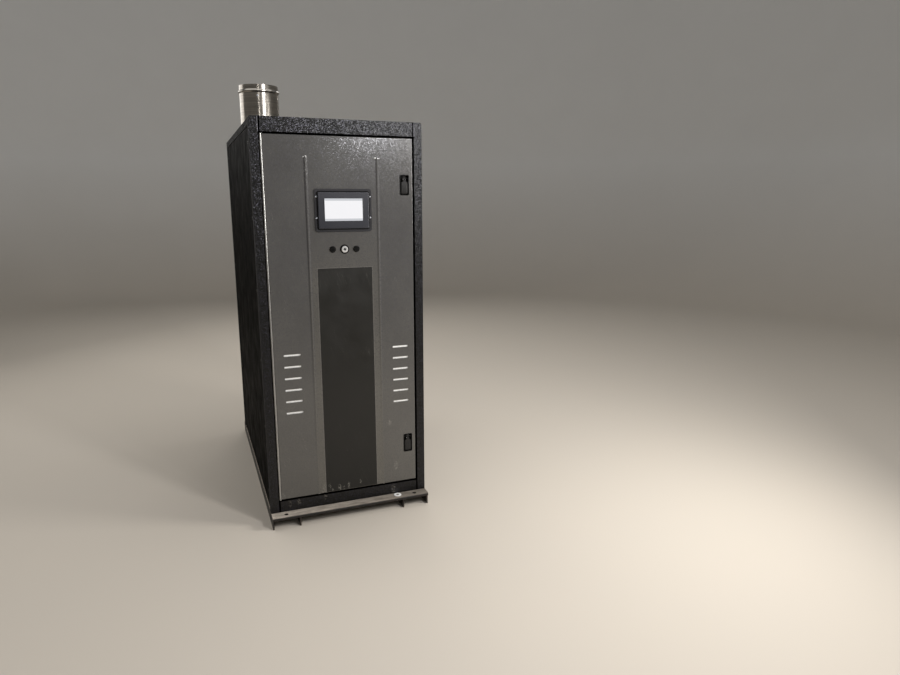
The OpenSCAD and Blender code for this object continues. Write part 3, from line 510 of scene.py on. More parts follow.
feed(tree, shader, Base_Color=paint, Metallic=metal, Specular_IOR_Level=0.39,
     Roughness=calc(tree, "ADD", rough_by(tree, coat["Mottle"], 0.30, 0.34), dull, clamp=True),
     Normal=bump(tree, cells["Height"], 0.00004, 1.0, cells["Flake"]))

# %% [markdown]
# The side and rear panels are plain black powder coat, smoother than the frame and
# rubbed by ducts, hands and brooms, so they carry smears and a few hairlines.

# %% Plain black of the panels
tree, coords, shader = new_material("side_black")
coat = use(tree, powder, coords=coords, scale=420.0)
marks = use(tree, scratches, coords=coords, width=0.002)
wear = use(tree, edge_wear, coords=coords, radius=0.0015, amount=0.4)
dirt = use(tree, dust, coords=coords, amount=0.3)
paint = mottled(tree, coat, rgb(10, 10, 9), rgb(17, 16, 15))
paint = layered(tree, paint, (marks["Lines"], rgb(58, 55, 52)), (wear["Mask"], rgb(84, 82, 78)),
                (dirt["Mask"], rgb(110, 104, 94)))
feed(tree, shader, Base_Color=paint, Specular_IOR_Level=0.01,
     Roughness=rough_by(tree, marks["Smear"], 0.5, 0.76),
     Normal=bump(tree, coat["Height"], 0.0002, 0.7))

# %% [markdown]
# Two vertical creases stand out from the door and stiffen it. Along each one a painted
# shade darkens the left foot and a painted highlight lightens the right flank, as if lit
# from the right, so a crease reads as a dark line beside a light one. The shade is
# weaker on the right crease. Both fade towards the lower end, as its height does.

# %% Crease group
FEATURE_X, CREASE_X = 0.007, 0.147
CREASE_TOP, CREASE_END = 1.549, 0.26
creases, given, gives = new_group(
    "creases", {"Coords": ("Vector", None)}, {"Painted_shade": "Float", "Painted_highlight": "Float"})
where = place(creases, "SeparateXYZ", {0: given["Coords"]})
sideways = calc(creases, "SUBTRACT", where.outputs["X"], FEATURE_X)
right_half = calc(creases, "SIGN", sideways)
from_crease = calc(creases, "MULTIPLY_ADD", right_half, -CREASE_X, sideways)
fading = spread(creases, where.outputs["Z"], CREASE_END, CREASE_TOP, 0.1, 1.0)
inside = calc(creases, "LESS_THAN", where.outputs["Z"], CREASE_TOP + 0.004)
front = calc(creases, "LESS_THAN", where.outputs["Y"], JUST_BEHIND_FRONT_Y)
strength = calc(creases, "MULTIPLY", calc(creases, "MULTIPLY", fading, inside), front)
# Painted shade on the left foot of each crease, weaker on the right crease, and a painted
# highlight on its right flank.
right_weaker = spread(creases, right_half, -1.0, 1.0, 1.0, 0.5)
for label, centre, half in (("Painted_shade", -0.0052, 0.0052), ("Painted_highlight", 0.0045, 0.0055)):
    off = calc(creases, "ABSOLUTE", calc(creases, "SUBTRACT", from_crease, centre))
    line = spread(creases, off, 0.0, half, 1.0, 0.0)
    line = calc(creases, "MULTIPLY", line, right_weaker) if label == "Painted_shade" else line
    creases.links.new(calc(creases, "MULTIPLY", line, strength), gives[label])

# %% [markdown]
# A painted highlight runs along the door's folded edges and, half as strong, beside the
# stripe: a pale outline one or two millimetres wide, where the light catches those
# edges. It is a distance to a rectangle, on the front only.

# %% Outline group
DOOR_RIM = (-0.303, 0.307, 0.113, 1.631)
STRIPE_RIM = (-0.1095, 0.1235, 0.100, 1.1035)
outlines, given, gives = new_group(
    "outlines", {"Coords": ("Vector", None)}, {"Edge_highlight": "Float"})
where = place(outlines, "SeparateXYZ", {0: given["Coords"]})
marks = []
# Painted highlight along the door's edges and the stripe's edges.
for (x0, x1, z0, z1), wide, bright in ((DOOR_RIM, 0.0024, 1.0), (STRIPE_RIM, 0.0018, 0.5)):
    beyond = [calc(outlines, "SUBTRACT", calc(outlines, "ABSOLUTE", calc(
        outlines, "SUBTRACT", where.outputs[axis], (low + high) / 2)), (high - low) / 2)
        for axis, low, high in (("X", x0, x1), ("Z", z0, z1))]
    edge = calc(outlines, "ABSOLUTE", calc(outlines, "MAXIMUM", *beyond))
    marks.append(spread(outlines, edge, 0.0006, wide, bright, 0.0))
front = calc(outlines, "LESS_THAN", where.outputs["Y"], JUST_BEHIND_FRONT_Y)
outlines.links.new(calc(outlines, "MULTIPLY", calc(outlines, "MAXIMUM", *marks), front),
                   gives["Edge_highlight"])

# %% [markdown]
# The door is dark grey powder coat with fine metal flakes, which show only in the glow
# of a lamp. It is painted paler towards the floor, and paler still in the lower part of
# the middle strip between the creases. Smears change the gloss, and shoes and trolleys
# left scuffs near the lower corners.

# %% Dark grey of the door
tree, coords, shader = new_material("door_grey")
coat = use(tree, powder, coords=coords, scale=200.0)
grains = use(tree, hammertone, coords=coords, scale=285.0, slant=0.052)
wear = use(tree, edge_wear, coords=coords, radius=0.0024, amount=0.56)
marks = use(tree, scratches, coords=coords, width=0.0012)
creased = use(tree, creases, coords=coords)
outlined = use(tree, outlines, coords=coords)
flakes = spread(tree, grains["Fleck"], 0.0, 0.6)
where = place(tree, "SeparateXYZ", {0: coords})
# Paler towards the floor, and paler in the lower middle strip between the creases.
paler_low = spread(tree, where.outputs["Z"], 0.2, 1.2, 0.26, 0.0)
middle = calc(tree, "ABSOLUTE", calc(tree, "SUBTRACT", where.outputs["X"], FEATURE_X))
paler_middle = calc(tree, "MULTIPLY", spread(tree, middle, CREASE_X, CREASE_X + 0.004, 0.20, 0.0),
               spread(tree, where.outputs["Z"], 1.04, 1.34, 1.0, 0.0))
paint = mottled(tree, coat, rgb(75, 74, 73), rgb(84, 83, 81), 0.38, 0.62)
# The two crease masks are a painted shade and a painted highlight.
paint = layered(tree, paint, (flakes, rgb(93, 92, 93)),
                (calc(tree, "ADD", paler_low, paler_middle), rgb(104, 100, 90)),
                (marks["Lines"], rgb(112, 109, 104)), (creased["Painted_shade"], rgb(40, 38, 39)),
                (creased["Painted_highlight"], rgb(90, 89, 89)))
paint = scuffed(tree, coords, paint, FRONT_Y, rgb(164, 160, 153),
                ((0.188, 0.403, 0.016), (0.213, 0.193, 0.022), (-0.115, 0.120, 0.03),
                 (-0.296, 0.125, 0.02)))
# Painted highlight: the pale outline along the door's and the stripe's edges.
paint = layered(tree, paint, (outlined["Edge_highlight"], rgb(118, 115, 112)),
                (wear["Mask"], rgb(150, 148, 143)))
feed(tree, shader, Base_Color=paint, Metallic=calc(tree, "MULTIPLY", flakes, 0.38),
     Roughness=rough_by(tree, marks["Smear"], 0.17, 0.19),
     Normal=bump(tree, coat["Height"], 0.0001, 1.0, grains["Flake"]))

# %% [markdown]
# The stripe is a satin black sheet glued to the door. Its lower edge is chipped and
# rubbed pale by shoes and trolleys.

# %% Satin stripe
tree, coords, shader = new_material("stripe_black")
coat = use(tree, powder, coords=coords, scale=900.0)
marks = use(tree, scratches, coords=coords, width=0.0016)
# Darker towards the bottom.
darker_low = spread(tree, along(tree, coords, "Z"), 0.12, 0.9, 0.9, 0.0)
paint = mottled(tree, coat, rgb(20, 19, 16), rgb(26, 25, 22))
paint = layered(tree, paint, (darker_low, rgb(10, 10, 8)), (marks["Lines"], rgb(62, 60, 56)))
paint = scuffed(tree, coords, paint, STRIPE_Y, rgb(168, 164, 154),
                ((-0.093, 0.140, 0.014), (-0.080, 0.124, 0.010), (-0.049, 0.130, 0.016),
                 (-0.030, 0.124, 0.010), (-0.008, 0.132, 0.015), (0.046, 0.142, 0.010)))
feed(tree, shader, Base_Color=paint, Roughness=rough_by(tree, marks["Smear"], 0.30, 0.44),
     Normal=bump(tree, coat["Height"], 0.00004, 0.5))

# %% [markdown]
# The base is dark steel that has stood on a building site: its top is pale with
# cement dust, and brown rust shows through on the lip and in the corners. Towards the
# right the dust was swept off, so it is thinner and darker there.

# %% Dusty base steel
tree, coords, shader = new_material("base_steel")
coat = use(tree, powder, coords=coords, scale=300.0)
wear = use(tree, edge_wear, coords=coords, radius=0.002, amount=0.5)
MUCH_DUST, LITTLE_DUST = 1.02, 0.62
lying = spread(tree, along(tree, coords, "X"), -0.30, 0.34, MUCH_DUST, LITTLE_DUST)
dirt = use(tree, dust, coords=coords, amount=lying)
rust = spread(tree, noise(tree, coords, 24.0, 6.0, 0.7), 0.47, 0.62)
drift = spread(tree, noise(tree, stretch(tree, coords, 0.4, 1.6, 1.0), 34.0, 5.0, 0.7),
               0.35, 0.65)
grey_dust = mix(tree, drift, rgb(136, 127, 117), rgb(198, 187, 173))
swept = spread(tree, lying, MUCH_DUST, LITTLE_DUST, 0.0, 0.75)
low = spread(tree, along(tree, coords, "Z"), 0.0, 0.010, 0.3, 0.0)
splashed = calc(tree, "MULTIPLY", low, noise(tree, coords, 60.0, 4.0))
paint = layered(tree, mix(tree, rust, rgb(15, 13, 12), rgb(38, 28, 22)),
                (wear["Mask"], rgb(92, 80, 70)),
                (dirt["Mask"], mix(tree, swept, grey_dust, rgb(74, 67, 58))),
                (splashed, rgb(158, 146, 130)))
feed(tree, shader, Base_Color=paint, Roughness=spread(tree, dirt["Mask"], 0, 1, 0.5, 0.9),
     Normal=bump(tree, coat["Height"], 0.0003, 0.7))

# %% [markdown]
# ## Metals
# Galvanised sheet shows its spangle, the zinc crystals of the bath. Voronoi cells of
# one grey each are the crystals, and they differ in gloss as well as in tone.

# %% Galvanised sheet
tree, coords, shader = new_material("galvanised")
spangle = place(tree, "TexVoronoi", {"Vector": coords, "Scale": 90.0})
shade = spread(tree, spangle.outputs["Color"], 0.1, 0.9)
dirt = use(tree, dust, coords=coords, amount=0.35)
zinc = mix(tree, shade, rgb(176, 179, 180), rgb(205, 207, 207))
feed(tree, shader, Base_Color=mix(tree, dirt["Mask"], zinc, rgb(150, 143, 132)),
     Roughness=calc(tree, "MULTIPLY_ADD", shade, 0.15, 0.34), Metallic=0.85,
     Normal=bump(tree, shade, 0.0001, 0.3))

# %% [markdown]
# The flue is rolled from stainless sheet, so fine lines run round it. Noise squeezed
# along the pipe gives the lines, and smears from hands change its gloss.

# %% Stainless flue pipe
tree, coords, shader = new_material("stainless")
lines = use(tree, rolled, coords=stretch(tree, coords, 20.0, 20.0, 900.0))
marks = use(tree, scratches, coords=coords, width=0.004)
steel = mix(tree, spread(tree, lines["Streak"], 0.3, 0.7), rgb(122, 118, 112), rgb(150, 145, 138))
steel = mix(tree, marks["Lines"], steel, rgb(120, 116, 110))
feed(tree, shader, Base_Color=steel, Metallic=1.0,
     Roughness=rough_by(tree, marks["Smear"], 0.15, 0.26),
     Normal=bump(tree, lines["Height"], 0.00005, 0.5))

# %% [markdown]
# The hinge's leaves are cold-rolled strip, bright and a little satin. The same lines
# as on the flue run along the strip.

# %% Bright steel of the hinge and screws
tree, coords, shader = new_material("hinge_steel")
lines = use(tree, rolled, coords=stretch(tree, coords, 900.0, 900.0, 40.0))
steel = mix(tree, spread(tree, lines["Streak"], 0.3, 0.7), rgb(152, 151, 149), rgb(184, 183, 180))
feed(tree, shader, Base_Color=steel, Metallic=0.85,
     Roughness=rough_by(tree, lines["Height"], 0.32, 0.45),
     Normal=bump(tree, lines["Height"], 0.00004, 0.4))

# %% [markdown]
# The ring of the key switch is polished and plated. Keys and fingers leave hairlines
# on it, so it has the scratches of the doors at four times their fineness.

# %% Polished ring of the key switch
tree, coords, shader = new_material("switch_chrome")
marks = use(tree, scratches, coords=stretch(tree, coords, 4.0, 4.0, 4.0), width=0.004)
feed(tree, shader, Base_Color=mix(tree, marks["Lines"], rgb(244, 244, 243), rgb(205, 205, 206)),
     Metallic=0.6, Roughness=rough_by(tree, marks["Smear"], 0.12, 0.24))

# %% [markdown]
# Screws, rivets and studs are zinc plated: a cool grey with a slightly uneven shine.

# %% Zinc casting and plated bolts
tree, coords, shader = new_material("zinc")
coat = use(tree, powder, coords=coords, scale=500.0)
feed(tree, shader, Base_Color=mottled(tree, coat, rgb(180, 184, 190), rgb(206, 209, 214)),
     Metallic=0.75,
     Roughness=rough_by(tree, coat["Mottle"], 0.32, 0.46),
     Normal=bump(tree, coat["Height"], 0.0001, 0.5))

# %% [markdown]
# The washer on the base is bright plating and looks almost white in the room's light.
# The stamped dots share its near-white, which on them is a painted highlight where the
# crease's upper end catches the light. Both are nearly all colour and little mirror,
# so they stay bright from every side.

# %% Bright plating of the washer, and painted highlight of the stamped dots
tree, coords, shader = new_material("bright_plating_and_glint")
worn = noise(tree, coords, 200.0, 3.0, 0.7)
feed(tree, shader, Metallic=0.05, Roughness=rough_by(tree, worn, 0.25, 0.4),
     Base_Color=mix(tree, worn, rgb(238, 238, 235), rgb(252, 252, 250)))

# %% [markdown]
# The burner's housings are sand castings, and its motor is an aluminium one. Both have
# the skin of the mould and edges that are rubbed bright, so one loop makes the two.

# %% Castings of the burner
for slot, dark, pale, metal in (("cast_grey", rgb(108, 110, 112), rgb(134, 135, 136), 0.3),
                                ("aluminium", rgb(166, 168, 170), rgb(190, 192, 193), 0.8)):
    tree, coords, shader = new_material(slot)
    coat = use(tree, powder, coords=coords, scale=240.0)
    wear = use(tree, edge_wear, coords=coords, radius=0.003, amount=0.5)
    cast = mottled(tree, coat, dark, pale, 0.3, 0.7)
    feed(tree, shader, Base_Color=mix(tree, wear["Mask"], cast, rgb(205, 205, 203)),
         Metallic=metal, Roughness=rough_by(tree, coat["Mottle"], 0.45, 0.6),
         Normal=bump(tree, coat["Height"], 0.0005, 0.8))

# %% [markdown]
# Gas pipe is black iron, which rusts in patches where its varnish is thin.

# %% Black iron pipe
tree, coords, shader = new_material("pipe_black")
coat = use(tree, powder, coords=coords, scale=260.0)
dirt = use(tree, dust, coords=coords, amount=0.5)
wear = use(tree, edge_wear, coords=coords, radius=0.002, amount=0.5)
rust = spread(tree, noise(tree, coords, 40.0, 6.0, 0.7), 0.56, 0.7)
paint = layered(tree, mix(tree, rust, rgb(44, 43, 42), rgb(86, 62, 48)),
                (wear["Mask"], rgb(120, 116, 110)), (dirt["Mask"], rgb(132, 124, 112)))
feed(tree, shader, Base_Color=paint, Roughness=rough_by(tree, coat["Mottle"], 0.42, 0.6),
     Normal=bump(tree, coat["Height"], 0.0003, 0.7))

# %% [markdown]
# ## Plastics, glass and the jacket
# The rim, bezel, latches and buttons are black mouldings. They differ in tone, gloss
# and grain, so each one is a row of numbers and one loop makes them all.

# %% Moulded blacks
for slot, dark, pale, rough, shine, grain in (
        ("rim_black", rgb(37, 37, 39), rgb(50, 49, 52), (0.46, 0.58), 0.2, 700.0),
        ("bezel_black", rgb(42, 43, 49), rgb(53, 54, 60), (0.26, 0.36), 0.4, 1100.0),
        ("switch_black", rgb(12, 12, 12), rgb(20, 20, 20), (0.20, 0.32), 0.2, 1100.0),
        ("latch_black", rgb(12, 12, 12), rgb(19, 19, 19), (0.34, 0.46), 0.08, 800.0),
        ("paddle_black", rgb(32, 32, 31), rgb(44, 43, 42), (0.34, 0.46), 0.15, 800.0)):
    tree, coords, shader = new_material(slot)
    coat = use(tree, powder, coords=coords, scale=grain)
    wear = use(tree, edge_wear, coords=coords, radius=0.0012, amount=0.4)
    dirt = use(tree, dust, coords=coords, amount=0.1)
    tone = layered(tree, mottled(tree, coat, dark, pale), (wear["Mask"], rgb(96, 95, 94)),
                   (dirt["Mask"], rgb(120, 114, 105)))
    feed(tree, shader, Base_Color=tone,
         Roughness=rough_by(tree, coat["Mottle"], *rough),
         Specular_IOR_Level=shine, Normal=bump(tree, coat["Height"], 0.00006, 0.5))

# %% [markdown]
# The display is lit: a white page with a pale grey bar above and below it, and nothing
# written on it. The page is emission, so it stays as bright where no lamp reaches.

# %% Lit display
screen_low, screen_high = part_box("display_screen")
tree, coords, shader = new_material("screen")
share = spread(tree, along(tree, coords, "Z"), screen_low.z, screen_high.z)
top_bar = calc(tree, "GREATER_THAN", share, 0.9)
low_bar = calc(tree, "LESS_THAN", share, 0.1)
bars = calc(tree, "ADD", top_bar, low_bar, clamp=True)
page = mix(tree, bars, rgb(248, 247, 249), rgb(203, 205, 209))
page = mix(tree, spread(tree, noise(tree, coords, 30.0), 0.3, 0.7, 0.0, 0.06), page,
           rgb(225, 228, 236))
feed(tree, shader, Base_Color=rgb(30, 32, 36), Roughness=0.12, Emission_Color=page,
     Emission_Strength=0.95)

# %% [markdown]
# Behind the door, the vessel's jacket is a pale foil, dented and smeared. The control
# box is painted steel and the drain is plastic pipe, both greyed by dust.

# %% Jacket, enclosure and drain pipe
tree, coords, shader = new_material("jacket")
coat = use(tree, powder, coords=coords, scale=160.0)
marks = use(tree, scratches, coords=coords, width=0.003)
skin = mottled(tree, coat, rgb(196, 196, 192), rgb(212, 212, 208))
feed(tree, shader, Base_Color=mix(tree, marks["Lines"], skin, rgb(160, 160, 156)),
     Metallic=0.35, Roughness=rough_by(tree, marks["Smear"], 0.38, 0.55),
     Normal=bump(tree, coat["Height"], 0.0004, 0.5))
for slot, dark, pale in (("box_grey", rgb(136, 142, 144), rgb(150, 155, 157)),
                         ("pvc_grey", rgb(168, 168, 166), rgb(182, 182, 179))):
    tree, coords, shader = new_material(slot)
    coat = use(tree, powder, coords=coords, scale=500.0)
    dirt = use(tree, dust, coords=coords, amount=0.4)
    tone = mottled(tree, coat, dark, pale)
    feed(tree, shader, Base_Color=mix(tree, dirt["Mask"], tone, rgb(150, 143, 132)),
         Roughness=rough_by(tree, coat["Mottle"], 0.42, 0.55),
         Normal=bump(tree, coat["Height"], 0.0001, 0.5))
print("finishes", len(finishes))

# %% [markdown]
# Each CAD node names its material slot in the record, so one loop dresses the
# whole frame.

# %% Dress the frame
for part in frame["record"]["subparts"]:
    thing = frame["nodes"][part["node"]]
    for hold in thing.material_slots:
        hold.material = finishes[part["material_slot"]]

# %% [markdown]
# ## Small pieces of the door
# The rim of the operator panel is held by four bright pan-head screws. The head is
# a dome, and its cross recess is a dip along both axes of the head.

# %% Screws of the rim
def cross_screw(radius, height, turns=40, rings=14):
    """A dome of height h(1 - (r/R)^4) with a cross cut into it: the depth falls off
    with the distance from the nearer arm and ends before the rim."""
    r = np.linspace(0, 1, rings)[::-1][:, None]
    a = np.linspace(0, 2 * math.pi, turns, endpoint=False)[None]
    x, y = r * np.cos(a), r * np.sin(a)
    arm = np.minimum(np.abs(x), np.abs(y))
    dip = np.clip(1 - arm / 0.16, 0, 1) * np.clip((0.62 - r) / 0.12, 0, 1)
    z = height * (0.35 + 0.65 * (1 - r ** 4)) - 0.45 * height * dip
    top = np.stack([radius * x, radius * y, z], axis=-1)
    foot = revolve([[0, 0], [radius, 0]], turns)
    return np.concatenate([foot, top])


rim_low, rim_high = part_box("operator_rim")
rim_mid = (rim_low + rim_high) / 2
screw_x = (rim_high.x - rim_low.x) / 2 - 6 * MM
spots = [(rim_mid.x + side * screw_x, rim_low.y, rim_mid.z + rise)
         for side in (-1, 1) for rise in (55 * MM, -30 * MM)]
piece("rim_screws", copies(cross_screw(3.5 * MM, 2.2 * MM), (0, -1, 0), spots),
      "door", "zinc")
print("rim screws", len(spots))

# %% [markdown]
# The lip round the display is a thin bead. A loop like this is a small round
# profile carried along a rectangle with rounded corners.

# %% Beads along rounded rectangles
def rounded_path(width, height, radius, steps=8):
    """Points of a rectangle with round corners about the origin, in order."""
    angles = np.linspace(0, math.pi / 2, steps)
    corners = []
    for quarter, (sx, sz) in enumerate(((1, 1), (-1, 1), (-1, -1), (1, -1))):
        a = angles + quarter * math.pi / 2
        corners.append(np.stack([sx * (width / 2 - radius) + radius * np.cos(a),
                                 sz * (height / 2 - radius) + radius * np.sin(a)], -1))
    return np.concatenate(corners)


def bead(path, profile, centre):
    """A closed bead: at each point of the path, profile (out, forward) is laid off
    along the path's outward normal and towards the front."""
    tangent = np.roll(path, -1, axis=0) - np.roll(path, 1, axis=0)
    tangent /= np.linalg.norm(tangent, axis=1, keepdims=True)
    normal = np.stack([tangent[:, 1], -tangent[:, 0]], -1)
    out, ahead = np.array(profile, float).T
    flat = path[:, None] + normal[:, None] * out[None, :, None]
    depth = np.broadcast_to(-ahead[None], flat.shape[:2])
    grid = np.stack([flat[..., 0], depth, flat[..., 1]], -1) + np.array(centre)
    return np.concatenate([grid, grid[:1]])


def arch(width, height, steps=10):
    """Half an ellipse and its flat foot, as (out, forward) pairs."""
    a = np.linspace(0, math.pi, steps)
    return np.stack([width / 2 * np.cos(a), height * np.sin(a)], -1)


bezel_low, bezel_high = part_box("operator_panel")
screen_mid = (screen_low + screen_high) / 2
screen_w, screen_h = screen_high.x - screen_low.x, screen_high.z - screen_low.z
piece("display_lip",
      [bead(rounded_path(screen_w + 3 * MM, screen_h + 3 * MM, 3 * MM),
            arch(3.2 * MM, 1.1 * MM), (screen_mid.x, bezel_low.y, screen_mid.z))],
      "door", "bezel_black")

# %% [markdown]
# The panel and the lock are sealed to the door with black rubber. The seals are also
# made near black as a painted shade of the groove round each of them, so they show as
# a deep dark line. The first is a bead, the second a turned ring.

# %% Rubber seals of panel and lock
tree, coords, shader = new_material("gasket_rubber_and_shade")
grain = noise(tree, coords, 700.0, 3.0, 0.6)
# Near black: the rubber, and a painted shade of the groove round the panel and the lock.
feed(tree, shader, Base_Color=mix(tree, grain, rgb(5, 5, 6), rgb(11, 11, 12)),
     Specular_IOR_Level=0.2, Roughness=rough_by(tree, grain, 0.7, 0.85))
bezel_mid = (bezel_low + bezel_high) / 2
bezel_w, bezel_h = bezel_high.x - bezel_low.x, bezel_high.z - bezel_low.z
piece("panel_seal",
      [bead(rounded_path(bezel_w + 4.4 * MM, bezel_h + 4.4 * MM, 8 * MM),
            arch(4.6 * MM, 1.5 * MM), (bezel_mid.x, rim_low.y, bezel_mid.z))],
      "door", "rim_black", "gasket_rubber_and_shade")
key_low, key_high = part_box("key_switch")
key_mid = (key_low + key_high) / 2
seal = revolve([(14 * MM, 0), (19.4 * MM, 0), (19.0 * MM, 0.9 * MM), (17.6 * MM, 1.3 * MM),
                (14 * MM, 1.3 * MM), (14 * MM, 0)], 48)
piece("key_seal", [stand(seal, (0, -1, 0), (key_mid.x, FRONT_Y, key_mid.z))], "door",
      "switch_black", "gasket_rubber_and_shade")

# %% [markdown]
# The door closes on a soft gasket that runs round the stops behind it.

# %% Door gasket
GASKET_Y, GASKET_W = -0.603, 0.606
GASKET_LOW, GASKET_HIGH = 0.117, 1.627
piece("door_gasket",
      [bead(rounded_path(GASKET_W, GASKET_HIGH - GASKET_LOW, 14 * MM), arch(11 * MM, 6.2 * MM),
            (0, GASKET_Y, (GASKET_LOW + GASKET_HIGH) / 2))], "cabinet", "rim_black")

# %% [markdown]
# The press tool left two small raised dots side by side at the upper end of a crease.
# Their near-white colour is a painted highlight of the crease's upper end catching
# the light, so they read as bright specks from across the room.

# %% Stamped dots at the creases
def dome(radius, height, rings=7, turns=20):
    """A flat foot and a quarter ellipse: r = R cos t, h = H sin t."""
    t = np.linspace(0, math.pi / 2, rings)
    arc = np.stack([radius * np.cos(t), height * np.sin(t)], -1)
    return revolve(np.concatenate([[[0, 0]], arc]), turns)


grids = []
for x, z, radius in ((-0.1478, 1.5475, 2.0), (-0.1385, 1.5490, 3.4),
                     (0.1460, 1.5488, 2.8), (0.1570, 1.5470, 3.4)):
    grids.append(stand(dome(radius * MM, 1.1 * MM), (0, -1, 0), (x, FRONT_Y, z)))
# Near white: a painted highlight on the upper ends of the creases.
piece("crease_dots", grids, "door", "zinc", "bright_plating_and_glint")

# %% [markdown]
# Behind each column of slots sits a pale pleated filter mat. Its near-white is the
# mat's own colour and also a painted reflection of the lamps off the metal behind the
# slots, which is why the slots look bright. The mat is a height that zigzags with Z,
# and Solidify gives it a thickness.

# %% Filter mats behind the slots
def mat_sheet(x0, x1, z0, z1, y, pleat, depth):
    """Point (i, j): X along the slot, Z up, and Y a triangle wave of Z."""
    z = np.arange(z0, z1, pleat / 4)
    wave = np.abs((z - z0) / pleat % 1 - 0.5) * 2
    x = np.linspace(x0, x1, 3)
    zz, xx = np.meshgrid(z, x, indexing="ij")
    return np.stack([xx, y + depth * np.repeat(wave[:, None], 3, 1), zz], -1)


def open_piece(name, grid, body, slot, thickness):
    """A sheet from an open grid, given its thickness by Solidify."""
    rows, columns = grid.shape[:2]
    quads = grid_faces(rows, columns, 0).reshape(rows - 1, columns, 4)[:, :-1]
    mesh = bpy.data.meshes.new(name)
    mesh.from_pydata(grid.reshape(-1, 3), [], quads.reshape(-1, 4).tolist())
    thing = bpy.data.objects.new(name, mesh)
    bpy.context.scene.collection.objects.link(thing)
    thing.data.materials.append(finishes[slot])
    wall = thing.modifiers.new("thickness", "SOLIDIFY")
    wall.thickness, wall.offset = thickness, 0
    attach(thing, body)
    made_pieces[name] = len(mesh.polygons)
    return thing


# Near white: the mat's own colour, and a painted reflection of the lamps off the metal behind the
# slots.
tree, coords, shader = new_material("filter_white_and_reflection")
fibre = noise(tree, coords, 900.0, 3.0, 0.7)
feed(tree, shader, Roughness=0.8, Normal=bump(tree, fibre, 0.0002, 0.6),
     Base_Color=mix(tree, fibre, rgb(228, 227, 224), rgb(252, 252, 250)))
SLOT_X, SLOT_LOW, SLOT_HIGH = 0.235, 0.478, 0.766
MAT_Y, MAT_HALF = -0.6324, 41 * MM
for side, word in ((-1, "left"), (1, "right")):
    middle = FEATURE_X + side * SLOT_X
    mat = open_piece("filter_mat_" + word,
                     mat_sheet(middle - MAT_HALF, middle + MAT_HALF, SLOT_LOW, SLOT_HIGH,
                               MAT_Y, 5 * MM, 0.9 * MM), "door", "galvanised", 0.4 * MM)
    mat.data.materials[0] = finishes["filter_white_and_reflection"]

# %% [markdown]
# The latch paddles are soft-edged mouldings: a round head on the pivot, a narrow
# neck and a broad finger plate. The shape is a stack of rounded slices whose width
# follows the outline from the bottom up, and it stands for the CAD's flat paddle. A
# ring marks the pivot, two bright studs sit under it, and all of them lift together.

# %% Moulded latch paddles
HEAD_R, TO_LEFT = 8.2 * MM, 0.8 * MM


def paddle_grid(low, high, steps=72, around=36):
    """Slice k lies at height z_k. Its half-width follows the outline, and both its
    width and thickness draw in at the ends: x = w cos^0.35(a), y = t sin^0.6(a)."""
    size = high - low
    t = np.linspace(0, 1, steps)
    z = low.z + size.z * t
    body, neck, head = size.x / 2 - 2 * TO_LEFT, 6.4 * MM, HEAD_R
    shoulder = np.clip((t - 0.63) / 0.09, 0, 1)
    half = body + (neck - body) * shoulder
    head_z = high.z - head
    rise = np.clip(1 - ((z - head_z) / head) ** 2, 0, 1)
    on_head = z > head_z - 0.75 * head
    half = np.where(on_head, np.maximum(half * (z < head_z), head * np.sqrt(rise)), half)
    foot = np.clip((z - low.z) / (6 * MM), 0, 1)
    half = np.where(foot < 1, body - 6 * MM * (1 - np.sqrt(1 - (1 - foot) ** 2)), half)
    thick = 2.6 * MM * np.sqrt(np.clip(1 - np.abs(2 * t - 1) ** 14, 0, 1))
    crown = 1.0 * MM * np.clip(1 - ((t - 0.33) / 0.33) ** 2, 0, 1)
    a = np.linspace(0, 2 * math.pi, around, endpoint=False)
    wide = np.sign(np.cos(a)) * np.abs(np.cos(a)) ** 0.35
    deep = np.sign(np.sin(a)) * np.abs(np.sin(a)) ** 0.6
    x = (low.x + high.x) / 2 - TO_LEFT + half[:, None] * wide[None]
    front = np.where(deep < 0, deep * (thick + crown)[:, None], deep * thick[:, None])
    y = low.y + 2.2 * MM + front
    grid = np.stack([x, y, np.broadcast_to(z[:, None], x.shape)], -1)
    ends = [np.broadcast_to(grid[k].mean(axis=0), grid[k].shape)[None] for k in (0, -1)]
    return np.concatenate([ends[0], grid, ends[1]])


for word in ("upper", "lower"):
    node = word + "_latch_paddle"
    low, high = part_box(node)
    moulded = piece(word + "_paddle_moulding", [paddle_grid(low, high)],
                    word + "_paddle", "latch_black", "paddle_black")
    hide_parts(node)
    pivot = (low.x / 2 + high.x / 2, low.y - 0.2 * MM, high.z - HEAD_R)
    a = np.linspace(0, 2 * math.pi, 10)
    ring = revolve(np.stack([(5.2 + 1.1 * np.cos(a)) * MM, (0.9 + 1.1 * np.sin(a)) * MM], -1), 28)
    piece(word + "_pivot_ring", [stand(ring, (0, -1, 0), pivot)], word + "_paddle",
          "latch_black")
    spots = [(pivot[0] - TO_LEFT + side * 5 * MM, low.y - 0.2 * MM, high.z - 12 * MM)
             for side in (-1, 1)]
    piece(word + "_paddle_studs", copies(dome(1.8 * MM, 1.2 * MM), (0, -1, 0), spots),
          word + "_paddle", "zinc")

# %% [markdown]
# The lock's core sits in the bright ring of the key switch. It is a dark dished
# disc with a keyway, which is the same dip as in a screw, along one axis only. A
# small zinc plug shows in its middle.

